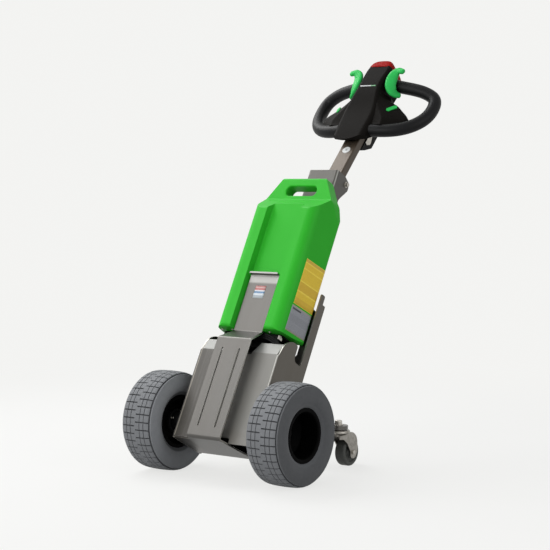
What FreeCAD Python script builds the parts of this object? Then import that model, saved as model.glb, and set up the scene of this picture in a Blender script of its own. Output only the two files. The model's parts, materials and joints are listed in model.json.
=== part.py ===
import FreeCAD, Part
import math
import os

# Electric tow tractor: a walk-behind tug with two driven wheels, a leaning sheet-steel
# column that carries a lift-off battery, a hinged tiller with a loop handle, and two
# swivel casters behind.  Millimetres and degrees.
#
# Three frames are used while building, and every piece ends in the world frame:
#   world   X right, Y to the rear, Z up, origin on the floor under the drive axle
#   column  X right, V across the column to the rear, U up along it, origin on the axle
#   tiller  X right, N across the tube to the rear, S up along it, origin on its hinge pin
# At export everything moves along Y so that the origin is under the middle of the tug.

# ---- stance ---------------------------------------------------------------------------
LEAN = 28.4                # column, from vertical towards the rear
TILLER_LEAN = 15.0         # tiller, further back than the column

# ---- chassis sheets (column frame) ----------------------------------------------------
PLATE_T = 4.0              # side plates
PLATE_IN = 131.5           # inner face of a side plate from the middle plane
COVER_T = 3.0
COVER_V = -51.0            # front face of the cover
BOTTOM_U = -62.0           # lower edge of the sheets
SHOULDER_U = 204.5         # where the cover folds back into its bevel
BEVEL_V = 15.0             # bevel's depth and rise
BEVEL_U = 35.0
COVER_MOUTH = 44.0         # half width of the mouth behind the hitch bracket
COVER_FOOT = 60.0          # half width of the cut-out in the lower edge
COVER_FOOT_U = 15.0
COVER_PLAY = 0.3           # bevel to side plate
BEND = 4.0                 # inner bend radius of the sheets
LOBE_TOP_U = 264.0
LOBE_V = 23.0              # rear edge of the lobe
NOTCH_U = 215.0
NOTCH_R = 15.0
RAIL_V = 59.0              # rail's front edge
RAIL_REAR_V = 90.0
RAIL_STEP = 13.0
RAIL_STEP_U = 411.0
RAIL_TOP_U = 437.0
BACK_T = 3.0               # back plate between the side plates
BACK_V = 67.6
FLOOR_V = 25.0             # floor plate's front edge
FLOOR_REAR_V = 78.0

# ---- drive wheels ---------------------------------------------------------------------
TYRE_D = 280.0             # 11 x 4.00-5 tyre
TYRE_W = 107.0
TREAD_HW = 41.0            # half width of the crown
CROWN = 2.0                # crown's rise in the middle
BEAD_R = 66.0              # tyre's inner radius on the rim
SEAT_PLAY = 0.2            # tyre on rim
FLANGE_R = 74.5
FLANGE_X = 45.0            # rim edge from the tyre's middle plane
RIM_T = 3.0
DISC_X = -12.0             # wheel disc, from the tyre's middle plane, outboard positive
DISC_DISH = 14.0           # disc's centre stands inboard of its rim by this
HUB_R = 34.0
HUB_L = 30.0
NOSE_R = 19.0
NOSE_L = 15.0
SHAFT_R = 12.5
SHAFT_PLAY = 0.08
WHEEL_GAP = 27.0           # side plate to tyre

# ---- drive unit and axle tubes --------------------------------------------------------
UNIT_GAP = 27.0            # drive unit to side plate
GEARBOX_V = 38.0           # half depth
GEARBOX_LOW_U = -48.0
GEARBOX_TOP_U = 46.0
MOTOR_R = 44.0
MOTOR_TOP_U = 196.0
TUBE_WALL = 17.0
TUBE_OUT = 10.0            # axle tube stands out of the side plate by this

# ---- hitch bracket (column frame) -----------------------------------------------------
HITCH_T = 5.0
HITCH_HW = 57.0            # half width of the face
HITCH_V = -88.4            # front face
HITCH_BOTTOM_U = -67.5
HITCH_TOP_U = 230.0
UPPER_HW = 49.0            # half width of the upper tongue
UPPER_V = -41.4
UPPER_BASE_U = 269.0
UPPER_TOP_U = 443.0
LIP = 11.0
RETURN_V = 45.0            # rear end of the underside return
RETURN_HW = 78.0
SLOT_X = 29.0
SLOT_W = 5.5
SLOT_LOW_U = -33.0
SLOT_HIGH_U = 199.0

# ---- battery pack (column frame) ------------------------------------------------------
PACK_GAP = 5.0             # to the rails, the back plate and the tongue
PACK_FRONT_V = -53.4
PACK_FLARE = 17.5          # the pack is wider at its back by this on each side
PACK_BOTTOM_U = 277.0
PACK_BODY_H = 376.0        # straight front
PACK_LEDGE_H = 51.0        # sloped ledge above the front
PACK_GRIP_H = 72.0         # thin grip on top
PACK_BACK_RISE = 2.0       # straight back ends this far above the front
PACK_BACK_BEVEL = 62.0     # and the rear bevel this far above it
PACK_SIDE_DROP = 13.0      # straight sides end this far below the front
PACK_HAUNCH_RISE = 47.0    # sides draw in twice on their way to the grip
PACK_HAUNCH_HW = 118.0
PACK_TOP_HW = 74.0
GRIP_V = -1.4
GRIP_T = 40.0
GRIP_HOLE_W = 106.0
GRIP_HOLE_H = 31.0
GRIP_HOLE_DROP = 43.0      # hole's middle below the top
CHANNEL_FLARE = 5.0
PACK_CORNER_R = 31.0
GRIP_EDGE_R = 4.0
TRAY_T = 4.0
TRAY_V = -20.0
TRAY_GAP = 35.0            # tray to the side plates
SOCKET_HW = 52.0
SOCKET_H = 34.0
SOCKET_V = 4.0

# ---- mast (column frame) --------------------------------------------------------------
MAST_T = 4.0
MAST_HW = 52.4
MAST_DEPTH = 42.0
MAST_BOTTOM_U = -20.0
MAST_TOP_U = 841.0
HINGE_BEHIND = 55.8        # hinge pin behind the mast's front face
HINGE_DROP = 20.0          # and below its top
EAR_R = 17.0
EAR_H = 78.0
PIN_R = 6.0
PIN_PLAY = 0.08
PIN_OUT = 8.0

# ---- tiller (tiller frame) ------------------------------------------------------------
TUBE_W = 52.0
TUBE_D = 27.0
TUBE_T = 3.0
TUBE_R = 4.0
TUBE_BELOW = 22.0
TUBE_TOP_S = 262.0
TUBE_HOLE_R = 4.5
TUBE_HOLE_S = 172.0
SLEEVE_R = 12.0
SLEEVE_PLAY = 0.5
LOOP_S = 328.0             # widest level of the loop
LOOP_N = -21.0             # loop's centreline in the middle
LOOP_BOW = 42.0            # its ends stand further back by this
LOOP_A = 198.0             # half width to the grip's centreline
LOOP_NEAR = 121.0          # reach towards the hinge
LOOP_FAR = 71.0            # reach away from it
GRIP_R = 19.5
LOOP_BAY_HW = 38.0         # the loop stops this far from the tube's middle plane
HEAD_FOOT_S = 148.0        # lower lip of the apron
HEAD_TOP_S = 447.0
HEAD_REAR_N = 38.0
HEAD_UNDER_S = 250.0       # where the sloping underside meets the rear face
WING_FOOT_S = 217.0
WING_UNDER_S = 262.0       # the same for the wings
CAP_HW = 41.0
CAP_H = 41.0
PADDLE_N = -53.0
PADDLE_X = 48.0            # its inner edge
PADDLE_W = 34.0
PADDLE_TURN = 24.0         # blade faces outwards by this
PADDLE_REACH = 49.0        # ear's tip from the inner edge
PADDLE_T = 12.0
PADDLE_FOOT_S = 353.0
HORN_X = 95.0              # button's middle on a wing's flank
HORN_N = -23.0
HORN_S = 290.0
HORN_HL = 19.0             # half length, half width and height above the flank
HORN_HW = 6.5
HORN_H = 6.0
HORN_SLOPE = 57.0          # its long axis rises outwards
FLANK_TURN = 25.5          # the flank turns back and leans back by these
FLANK_LEAN = 12.0
SOCKET_S = 166.0           # block behind the tube: foot, top and rear face
SOCKET_TOP_S = 252.0
SOCKET_N = 52.0
SOCKET_HALF_W = 28.0

# ---- casters and what carries them (world frame) --------------------------------------
CASTER_OUT = 18.5          # swivel axis outside the arm
CASTER_Y = 307.0           # swivel axis behind the drive axle
CASTER_TRAIL = 42.0
CASTER_D = 80.0
CASTER_W = 32.0
CASTER_SHOULDER = 6.0
FORK_T = 3.0
FORK_GAP = 3.0
FORK_OVER = 15.0           # fork's crown above the wheel
RACE_R = 34.0
RACE_H = 8.0
RACE_GAP = 2.0
BEAM_GAP = 3.0
BEAM_T = 10.0
BEAM_HD = 27.0             # half depth, and the radius of its ends
ARM_T = 6.0
ARM_H = 24.0
ARM_ROOT_H = 62.0
ARM_ROOT_Y = 34.0
KINGPIN_R = 6.0
KINGPIN_HEAD_R = 10.5
KINGPIN_HEAD_H = 12.0
CASTER_AXLE_R = 4.0

# ---- derived --------------------------------------------------------------------------
AXLE_Z = TYRE_D / 2
PLATE_OUT = PLATE_IN + PLATE_T
WHEEL_X = PLATE_OUT + WHEEL_GAP + TYRE_W / 2
CASTER_X = PLATE_OUT + ARM_T + CASTER_OUT
FLOOR_U = HITCH_BOTTOM_U + HITCH_T
PACK_BACK_V = BACK_V - PACK_GAP
PACK_BACK_HW = PLATE_IN - PACK_GAP
PACK_FRONT_HW = PACK_BACK_HW - PACK_FLARE
PACK_SHOULDER_U = PACK_BOTTOM_U + PACK_BODY_H
PACK_LEDGE_U = PACK_SHOULDER_U + PACK_LEDGE_H
PACK_TOP_U = PACK_LEDGE_U + PACK_GRIP_H
GRIP_HOLE_U = PACK_TOP_U - GRIP_HOLE_DROP
MAST_V = BACK_V + BACK_T
HINGE_V = MAST_V + HINGE_BEHIND
HINGE_U = MAST_TOP_U - HINGE_DROP
FORK_HW = CASTER_W / 2 + FORK_GAP + FORK_T
FORK_TOP_Z = CASTER_D + FORK_OVER + FORK_T
RACE_Z = FORK_TOP_Z + RACE_GAP
BEAM_Z = RACE_Z + RACE_H + BEAM_GAP
BEAM_TOP_Z = BEAM_Z + BEAM_T

NEARLY = 0.98              # share of a half width that its rounded end takes

PIECES = {}
SIDES = (("right", 1), ("left", -1))


# ---- placing and filing ---------------------------------------------------------------
def vec(x, y, z):
    return FreeCAD.Vector(x, y, z)


X_AXIS = vec(1, 0, 0)
Y_AXIS = vec(0, 1, 0)
Z_AXIS = vec(0, 0, 1)
ORIGIN = vec(0, 0, 0)


def keep(name, shape):
    """File one finished world-frame piece under its name."""
    PIECES[name] = shape.removeSplitter()


def column(shape):
    """Column frame to world frame."""
    placed = shape.copy()
    placed.rotate(ORIGIN, X_AXIS, -LEAN)
    placed.translate(vec(0, 0, AXLE_Z))
    return placed


def tiller(shape):
    """Tiller frame to world frame."""
    placed = shape.copy()
    placed.rotate(ORIGIN, X_AXIS, -TILLER_LEAN)
    placed.translate(vec(0, HINGE_V, HINGE_U))
    return column(placed)


def mirrored(shape):
    return shape.mirror(ORIGIN, X_AXIS)


def both_sides(name, shape, place):
    keep(f"{name}_right", place(shape))
    keep(f"{name}_left", place(mirrored(shape)))


# ---- outlines -------------------------------------------------------------------------
def on_x(x):
    return lambda a, b: vec(x, a, b)


def on_y(y):
    return lambda a, b: vec(a, y, b)


def on_z(z):
    return lambda a, b: vec(a, b, z)


def corner_arc(before, corner, after, radius):
    """Start, middle and end of the arc that rounds one corner of an outline."""
    ax, ay = before[0] - corner[0], before[1] - corner[1]
    bx, by = after[0] - corner[0], after[1] - corner[1]
    la, lb = math.hypot(ax, ay), math.hypot(bx, by)
    ax, ay, bx, by = ax / la, ay / la, bx / lb, by / lb
    half = math.acos(max(-1.0, min(1.0, ax * bx + ay * by))) / 2
    reach = radius / math.tan(half)
    mx, my = ax + bx, ay + by
    lm = math.hypot(mx, my)
    near = radius / math.sin(half) - radius
    return ((corner[0] + ax * reach, corner[1] + ay * reach),
            (corner[0] + mx / lm * near, corner[1] + my / lm * near),
            (corner[0] + bx * reach, corner[1] + by * reach))


def outline(points, place):
    """Closed wire through (a, b) or (a, b, corner radius) points, put on a plane by place."""
    edges = []
    ends = []
    count = len(points)
    for i, point in enumerate(points):
        corner = point[:2]
        if len(point) == 3 and point[2] > 0:
            start, middle, stop = corner_arc(points[i - 1][:2], corner,
                                             points[(i + 1) % count][:2], point[2])
            arc = Part.Arc(place(*start), place(*middle), place(*stop))
            ends.append((start, stop, arc.toShape()))
        else:
            ends.append((corner, corner, None))
    for i, (_, stop, arc) in enumerate(ends):
        if arc is not None:
            edges.append(arc)
        nxt = ends[(i + 1) % count][0]
        if math.hypot(nxt[0] - stop[0], nxt[1] - stop[1]) > 1e-6:
            edges.append(Part.makeLine(place(*stop), place(*nxt)))
    return Part.Wire(edges)


def slab_x(points, x0, x1):
    """Solid from a (y, z) outline between two X planes."""
    return Part.Face(outline(points, on_x(x0))).extrude(vec(x1 - x0, 0, 0))


def slab_y(points, y0, y1):
    """Solid from an (x, z) outline between two Y planes."""
    return Part.Face(outline(points, on_y(y0))).extrude(vec(0, y1 - y0, 0))


def slab_z(points, z0, z1):
    """Solid from an (x, y) outline between two Z planes."""
    return Part.Face(outline(points, on_z(z0))).extrude(vec(0, 0, z1 - z0))


def both_halves(points):
    """A right-hand half outline, from its lowest point up, closed by its mirror image."""
    return points + [(-p[0], *p[1:]) for p in points[::-1]]


def box(x0, x1, y0, y1, z0, z1):
    return Part.makeBox(x1 - x0, y1 - y0, z1 - z0, vec(x0, y0, z0))


def rod_x(r, x0, x1, y=0.0, z=0.0):
    return Part.makeCylinder(r, x1 - x0, vec(x0, y, z), X_AXIS)


def rod_y(r, y0, y1, x=0.0, z=0.0):
    return Part.makeCylinder(r, y1 - y0, vec(x, y0, z), Y_AXIS)


def rod_z(r, z0, z1, x=0.0, y=0.0):
    return Part.makeCylinder(r, z1 - z0, vec(x, y, z0), Z_AXIS)


def revolve_x(points):
    """Solid of revolution about the X axis from an (x, radius) outline."""
    face = Part.Face(outline(points, lambda a, b: vec(a, 0, b)))
    return face.revolve(ORIGIN, X_AXIS, 360)


def revolve_z(points):
    """Solid of revolution about the Z axis from a (radius, z) outline."""
    face = Part.Face(outline(points, lambda a, b: vec(a, 0, b)))
    return face.revolve(ORIGIN, Z_AXIS, 360)


def round_edges(shape, radius, wanted):
    """Fillet the edges for which wanted(edge) is true."""
    return shape.makeFillet(radius, [edge for edge in shape.Edges if wanted(edge)])


def folded_sheet(path, thickness, half_width):
    """Sheet folded along a (v, u) path with bend radii, its thickness to the left of it."""
    right, left = [path[0]], []
    normals = []
    for a, b in zip(path, path[1:]):
        run = math.hypot(b[0] - a[0], b[1] - a[1])
        normals.append((-(b[1] - a[1]) / run, (b[0] - a[0]) / run))
    left.append((path[0][0] + normals[0][0] * thickness, path[0][1] + normals[0][1] * thickness))
    for (v, u), before, after in zip(path[1:-1], normals, normals[1:]):
        nv, nu = before[0] + after[0], before[1] + after[1]
        size = math.hypot(nv, nu)
        nv, nu = nv / size, nu / size
        reach = thickness / (nv * before[0] + nu * before[1])
        turns_left = before[0] * after[1] - before[1] * after[0] > 0
        right.append((v, u, BEND + thickness if turns_left else BEND))
        left.append((v + nv * reach, u + nu * reach, BEND if turns_left else BEND + thickness))
    right.append(path[-1])
    left.append((path[-1][0] + normals[-1][0] * thickness,
                 path[-1][1] + normals[-1][1] * thickness))
    return slab_x(right + left[::-1], -half_width, half_width)


# ---- chassis --------------------------------------------------------------------------
def side_plate():
    """Laser-cut plate: rounded lobe in front, notch, and a rail that guards the pack."""
    front_v = COVER_V + COVER_T
    points = [(front_v, BOTTOM_U), (front_v, SHOULDER_U), (front_v + 13, SHOULDER_U + 40, 42),
              (front_v + 46, LOBE_TOP_U, 40), (LOBE_V, LOBE_TOP_U - 4, 6),
              (LOBE_V, NOTCH_U, NOTCH_R), (RAIL_V, NOTCH_U, 6), (RAIL_V, RAIL_TOP_U, 4),
              (RAIL_REAR_V - RAIL_STEP, RAIL_TOP_U, 5), (RAIL_REAR_V - RAIL_STEP, RAIL_STEP_U),
              (RAIL_REAR_V, RAIL_STEP_U, 3), (RAIL_REAR_V, BOTTOM_U, 8)]
    plate = slab_x(points, PLATE_IN, PLATE_OUT)
    return plate.cut(rod_x(SHAFT_R + TUBE_WALL, PLATE_IN - 1, PLATE_OUT + 1))


def front_cover():
    """Folded front sheet, open behind the hitch bracket at its top and foot."""
    path = [(COVER_V + BEVEL_V, SHOULDER_U + BEVEL_U), (COVER_V, SHOULDER_U), (COVER_V, BOTTOM_U)]
    sheet = folded_sheet(path, COVER_T, PLATE_OUT)
    top_u = SHOULDER_U + BEVEL_U + 10
    wing_hw, mouth_u = PLATE_IN - COVER_PLAY, SHOULDER_U - 6
    half = [(COVER_FOOT, BOTTOM_U - 1), (PLATE_OUT - 1, BOTTOM_U - 1),
            (PLATE_OUT - 1, SHOULDER_U - 2), (wing_hw, SHOULDER_U - 2), (wing_hw, top_u),
            (COVER_MOUTH + 16, top_u), (COVER_MOUTH, mouth_u, 5)]
    face = both_halves(half)
    sheet = sheet.common(slab_y(face, COVER_V - 20, COVER_V + 60))
    foot = slab_y([(-COVER_FOOT, BOTTOM_U - 5), (COVER_FOOT, BOTTOM_U - 5),
                   (COVER_FOOT, BOTTOM_U + COVER_FOOT_U, 5),
                   (-COVER_FOOT, BOTTOM_U + COVER_FOOT_U, 5)], COVER_V - 5, COVER_V + 5)
    return sheet.cut(foot)


def slot_cutter(x, v0, v1):
    half = SLOT_W / 2
    end = half * NEARLY
    return slab_y([(x - half, SLOT_LOW_U, end), (x + half, SLOT_LOW_U, end),
                   (x + half, SLOT_HIGH_U, end), (x - half, SLOT_HIGH_U, end)], v0, v1)


def hitch_bracket():
    """One thick folded strip: tongue with a lip, sloped step, slotted face, underside return."""
    path = [(UPPER_V - LIP, UPPER_TOP_U), (UPPER_V, UPPER_TOP_U), (UPPER_V, UPPER_BASE_U),
            (HITCH_V, HITCH_TOP_U), (HITCH_V, HITCH_BOTTOM_U), (RETURN_V, HITCH_BOTTOM_U)]
    sheet = folded_sheet(path, HITCH_T, RETURN_HW)
    under_u = HITCH_BOTTOM_U - 1
    front = both_halves([(RETURN_HW + 1, under_u), (RETURN_HW + 1, FLOOR_U + 1),
                         (HITCH_HW, FLOOR_U + 1), (HITCH_HW, HITCH_TOP_U - 2),
                         (UPPER_HW, UPPER_BASE_U), (UPPER_HW, UPPER_TOP_U + 6, 5)])
    foot = both_halves([(HITCH_HW, HITCH_V - 1), (HITCH_HW, HITCH_V + 9),
                        (RETURN_HW, RETURN_V + 1, 8)])
    above = box(-HITCH_HW, HITCH_HW, HITCH_V - 20, UPPER_V + 40, FLOOR_U + 0.5, UPPER_TOP_U + 10)
    keep_shape = slab_z(foot, under_u, FLOOR_U + 0.5).fuse(above)
    sheet = sheet.common(slab_y(front, HITCH_V - 30, RETURN_V + 5)).common(keep_shape)
    for x in (-SLOT_X, SLOT_X):
        sheet = sheet.cut(slot_cutter(x, HITCH_V - 1, HITCH_V + HITCH_T + 1))
    return sheet


def floor_plate():
    """Floor between the side plates, its rear edge turned up."""
    path = [(FLOOR_REAR_V, FLOOR_U + 14), (FLOOR_REAR_V, FLOOR_U), (FLOOR_V, FLOOR_U)]
    return folded_sheet(path[::-1], BACK_T, PLATE_IN)


def back_plate():
    """Sheet behind the pack, with two long windows that save weight."""
    sheet = slab_y(both_halves([(PLATE_IN, FLOOR_U + BACK_T), (PLATE_IN, RAIL_STEP_U - 30),
                                (PLATE_IN - 40, RAIL_STEP_U, 8)]), BACK_V, BACK_V + BACK_T)
    window = slab_y([(MAST_HW + 18, NOTCH_U + 30, 10), (PLATE_IN - 26, NOTCH_U + 30, 10),
                     (PLATE_IN - 26, RAIL_STEP_U - 56, 10), (MAST_HW + 18, RAIL_STEP_U - 36, 10)],
                    BACK_V - 1, BACK_V + BACK_T + 1)
    return sheet.cut(window).cut(mirrored(window))


def chassis():
    both_sides("side_plate", side_plate(), column)
    keep("front_cover", column(front_cover()))
    keep("hitch_bracket", column(hitch_bracket()))
    keep("floor_plate", column(floor_plate()))
    keep("back_plate", column(back_plate()))


def drive_unit():
    """Gearbox and motor as one plain block, with an axle tube to each side plate."""
    half = PLATE_IN - UNIT_GAP
    gearbox = box(-half, half, -GEARBOX_V, GEARBOX_V, GEARBOX_LOW_U, GEARBOX_TOP_U)
    motor = rod_z(MOTOR_R, GEARBOX_TOP_U, MOTOR_TOP_U, 0, BACK_V - MOTOR_R - 12)
    keep("drive_unit", column(gearbox.fuse(motor)))
    tube = rod_x(SHAFT_R + TUBE_WALL, half, PLATE_OUT + TUBE_OUT)
    tube = tube.cut(rod_x(SHAFT_R + SHAFT_PLAY, half - 1, PLATE_OUT + TUBE_OUT + 1))
    both_sides("axle_tube", tube, column)


# ---- drive wheels ---------------------------------------------------------------------
def tyre():
    """Low-pressure tyre: bead seat, bulged sidewalls, rounded shoulders, flat crown."""
    half = TYRE_W / 2
    radius = TYRE_D / 2
    bead_x = FLANGE_X - RIM_T - SEAT_PLAY
    side = [(bead_x, BEAD_R), (bead_x, FLANGE_R + 1.5), (half - 4, FLANGE_R + 9, 8),
            (half, FLANGE_R + 26, 20), (half, radius - 14, 12), (TREAD_HW, radius - CROWN, 16)]
    points = side + [(0, radius)] + [(-x, *rest) for x, *rest in side[::-1]]
    return revolve_x(points)


def rim():
    """Pressed wheel: barrel with two rolled flanges, and a dished disc."""
    barrel = BEAD_R - SEAT_PLAY
    inner = barrel - RIM_T
    lip = FLANGE_X - RIM_T
    points = [(-FLANGE_X, FLANGE_R), (-FLANGE_X, inner, 5), (DISC_X - RIM_T, inner, 4),
              (DISC_X - RIM_T - DISC_DISH, HUB_R + 10, 6), (DISC_X - RIM_T - DISC_DISH, 0),
              (DISC_X - DISC_DISH, 0), (DISC_X - DISC_DISH, HUB_R + 9, 8), (DISC_X, inner, 5),
              (FLANGE_X, inner, 5), (FLANGE_X, FLANGE_R), (lip, FLANGE_R), (lip, barrel),
              (-lip, barrel), (-lip, FLANGE_R)]
    shape = revolve_x(points)
    return shape.cut(rod_x(NOSE_R, DISC_X - DISC_DISH - RIM_T - 1, DISC_X))


def hub():
    """Flange behind the disc and a nose through it, on the shaft."""
    back = DISC_X - DISC_DISH - RIM_T
    flange = revolve_x([(back - HUB_L, 0), (back - HUB_L, HUB_R - 8, 3), (back - 9, HUB_R - 8),
                        (back - 9, HUB_R, 2), (back, HUB_R), (back, NOSE_R),
                        (back + RIM_T + NOSE_L, NOSE_R, 3), (back + RIM_T + NOSE_L, 0)])
    return flange


def drive_wheels():
    back = DISC_X - DISC_DISH - RIM_T
    shaft = rod_x(SHAFT_R, PLATE_IN - UNIT_GAP + 1 - WHEEL_X, back - HUB_L)
    for part_name, shape in (("tyre", tyre()), ("rim", rim()), ("hub", hub()),
                             ("axle_shaft", shaft)):
        shape.translate(vec(WHEEL_X, 0, AXLE_Z))
        both_sides(part_name, shape, lambda s: s)


# ---- battery pack ---------------------------------------------------------------------
def pack_body():
    """Where three outlines cross: seen from above, from the side and from the front."""
    plan = both_halves([(PACK_FRONT_HW, PACK_FRONT_V, PACK_CORNER_R),
                        (PACK_BACK_HW, PACK_BACK_V, 10)])
    back_u = PACK_SHOULDER_U + PACK_BACK_RISE
    side = [(PACK_FRONT_V, PACK_BOTTOM_U, 9), (PACK_BACK_V, PACK_BOTTOM_U, 6),
            (PACK_BACK_V, back_u, 16), (GRIP_V + GRIP_T, back_u + PACK_BACK_BEVEL - 2, 10),
            (GRIP_V + GRIP_T, PACK_TOP_U, 9),
            (GRIP_V, PACK_TOP_U, 9), (GRIP_V, PACK_LEDGE_U, 7), (PACK_FRONT_V, PACK_SHOULDER_U, 9)]
    front = both_halves([(PACK_BACK_HW, PACK_BOTTOM_U, 14),
                         (PACK_BACK_HW, PACK_SHOULDER_U - PACK_SIDE_DROP, 40),
                         (PACK_HAUNCH_HW, PACK_SHOULDER_U + PACK_HAUNCH_RISE, 30),
                         (PACK_TOP_HW, PACK_TOP_U, 10)])
    body = slab_z(plan, PACK_BOTTOM_U, PACK_TOP_U)
    body = body.common(slab_x(side, -PACK_BACK_HW, PACK_BACK_HW))
    return body.common(slab_y(front, PACK_FRONT_V, PACK_BACK_V))


def battery_case():
    """Moulded case with a channel for the steel tongue and a grip hole through its top."""
    floor_hw = UPPER_HW + PACK_GAP
    floor_v = UPPER_V + HITCH_T + PACK_GAP
    mouth_hw = floor_hw + CHANNEL_FLARE
    channel = slab_z([(-mouth_hw, PACK_FRONT_V), (-floor_hw, floor_v, 4), (floor_hw, floor_v, 4),
                      (mouth_hw, PACK_FRONT_V), (mouth_hw + 8, PACK_FRONT_V - 8),
                      (-mouth_hw - 8, PACK_FRONT_V - 8)], PACK_BOTTOM_U - 1, PACK_TOP_U)
    hole_low = GRIP_HOLE_U - GRIP_HOLE_H / 2
    round_r = GRIP_HOLE_H * 0.44
    half = GRIP_HOLE_W / 2
    hole = slab_y([(-half, hole_low, round_r), (half, hole_low, round_r),
                   (half, hole_low + GRIP_HOLE_H, round_r),
                   (-half, hole_low + GRIP_HOLE_H, round_r)], GRIP_V - 5, GRIP_V + GRIP_T + 5)
    case = pack_body().cut(channel).cut(hole)
    rim_v = (GRIP_V, GRIP_V + GRIP_T)

    def on_hole_rim(edge):
        box_ = edge.BoundBox
        flat = box_.YLength < 0.01 and min(abs(box_.YMin - v) for v in rim_v) < 0.01
        inside = box_.XMax < half + 1 and box_.XMin > -half - 1
        return flat and inside and box_.ZMin > hole_low - 1 and box_.ZMax < hole_low + GRIP_HOLE_H + 1

    return round_edges(case, GRIP_EDGE_R, on_hole_rim)


def battery():
    keep("battery_case", column(battery_case()))
    half = PLATE_IN - TRAY_GAP
    tray = folded_sheet([(TRAY_V, PACK_BOTTOM_U - 22), (TRAY_V, PACK_BOTTOM_U),
                         (BACK_V, PACK_BOTTOM_U), (BACK_V, PACK_BOTTOM_U - 34)][::-1],
                        TRAY_T, half)
    keep("battery_tray", column(tray))
    low_u = PACK_BOTTOM_U - TRAY_T - SOCKET_H
    socket = slab_x([(SOCKET_V, low_u, 4), (SOCKET_V + 44, low_u, 4),
                     (SOCKET_V + 44, low_u + SOCKET_H), (SOCKET_V, low_u + SOCKET_H)],
                    -SOCKET_HW, SOCKET_HW)
    keep("battery_socket", column(socket))


# ---- mast and tiller ------------------------------------------------------------------
def mast():
    """Folded channel open to the rear, whose cheeks end in two ears for the hinge pin."""
    rear, open_v = MAST_V + MAST_DEPTH, HINGE_V + 2 * EAR_R
    inner_hw, inner_v = MAST_HW - MAST_T, MAST_V + MAST_T
    section = [(MAST_HW, open_v), (MAST_HW, MAST_V, BEND + MAST_T),
               (-MAST_HW, MAST_V, BEND + MAST_T), (-MAST_HW, open_v),
               (-inner_hw, open_v), (-inner_hw, inner_v, BEND),
               (inner_hw, inner_v, BEND), (inner_hw, open_v)]
    channel = slab_z(section, MAST_BOTTOM_U, MAST_TOP_U)
    ear_v = HINGE_V + EAR_R
    side = [(MAST_V - 1, MAST_BOTTOM_U), (rear, MAST_BOTTOM_U, 6), (rear, HINGE_U - EAR_H + 21, 20),
            (ear_v, HINGE_U - EAR_R * 0.7, 14), (ear_v - 3, MAST_TOP_U - 10, 9),
            (rear, MAST_TOP_U, 12), (MAST_V - 1, MAST_TOP_U)]
    shape = channel.common(slab_x(side, -MAST_HW - 1, MAST_HW + 1))
    return shape.cut(rod_x(PIN_R + PIN_PLAY, -MAST_HW - 1, MAST_HW + 1, HINGE_V, HINGE_U))


def rounded_bar(half_width, n0, n1, corner, s0, s1):
    """Bar with rounded corners across the tiller."""
    return slab_z([(-half_width, n0, corner), (half_width, n0, corner), (half_width, n1, corner),
                   (-half_width, n1, corner)], s0, s1)


def tiller_tube():
    """Rectangular tube welded round a cross sleeve that turns on the hinge pin."""
    half_w, half_d = TUBE_W / 2, TUBE_D / 2
    outer = rounded_bar(half_w, -half_d, half_d, TUBE_R, -TUBE_BELOW, TUBE_TOP_S)
    inner = rounded_bar(half_w - TUBE_T, TUBE_T - half_d, half_d - TUBE_T, TUBE_R - TUBE_T + 0.5,
                        -TUBE_BELOW - 1, TUBE_TOP_S + 1)
    reach = MAST_HW - MAST_T - SLEEVE_PLAY
    tube = outer.cut(inner).fuse(rod_x(SLEEVE_R, -reach, reach))
    tube = tube.cut(rod_x(PIN_R + PIN_PLAY, -reach - 1, reach + 1))
    return tube.cut(rod_y(TUBE_HOLE_R, -half_d - 1, 0, 0, TUBE_HOLE_S))


def loop_path():
    """Right half of a bowed D: shallow far side, deep near side, the end swept to the rear."""
    half = [(0, -LOOP_NEAR), (0.35, -0.985 * LOOP_NEAR), (0.64, -0.88 * LOOP_NEAR),
            (0.87, -0.61 * LOOP_NEAR), (0.995, -0.25 * LOOP_NEAR), (1.02, 0.1 * LOOP_FAR),
            (0.97, 0.62 * LOOP_FAR), (0.86, 0.80 * LOOP_FAR), (0.64, 0.91 * LOOP_FAR),
            (0.35, 0.99 * LOOP_FAR), (0, LOOP_FAR)]
    points = [vec(x * LOOP_A, LOOP_N + LOOP_BOW * x * x, LOOP_S + s) for x, s in half]
    line = Part.BSplineCurve()
    line.interpolate(Points=points, InitialTangent=X_AXIS, FinalTangent=-X_AXIS)
    return line.toShape()


def handle_ring():
    """Round tube along the loop, both halves."""
    path = loop_path()
    start = path.valueAt(path.FirstParameter)
    ring = Part.Wire(Part.makeCircle(GRIP_R, start, X_AXIS))
    half = Part.Wire(path).makePipeShell([ring], True, False)
    return half.fuse(mirrored(half))


def section(half_width, front, rear, corner, s):
    """Rounded rectangle across the tiller, for a loft."""
    return outline([(-half_width, front, corner), (half_width, front, corner),
                    (half_width, rear, corner), (-half_width, rear, corner)], on_z(s))


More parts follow.
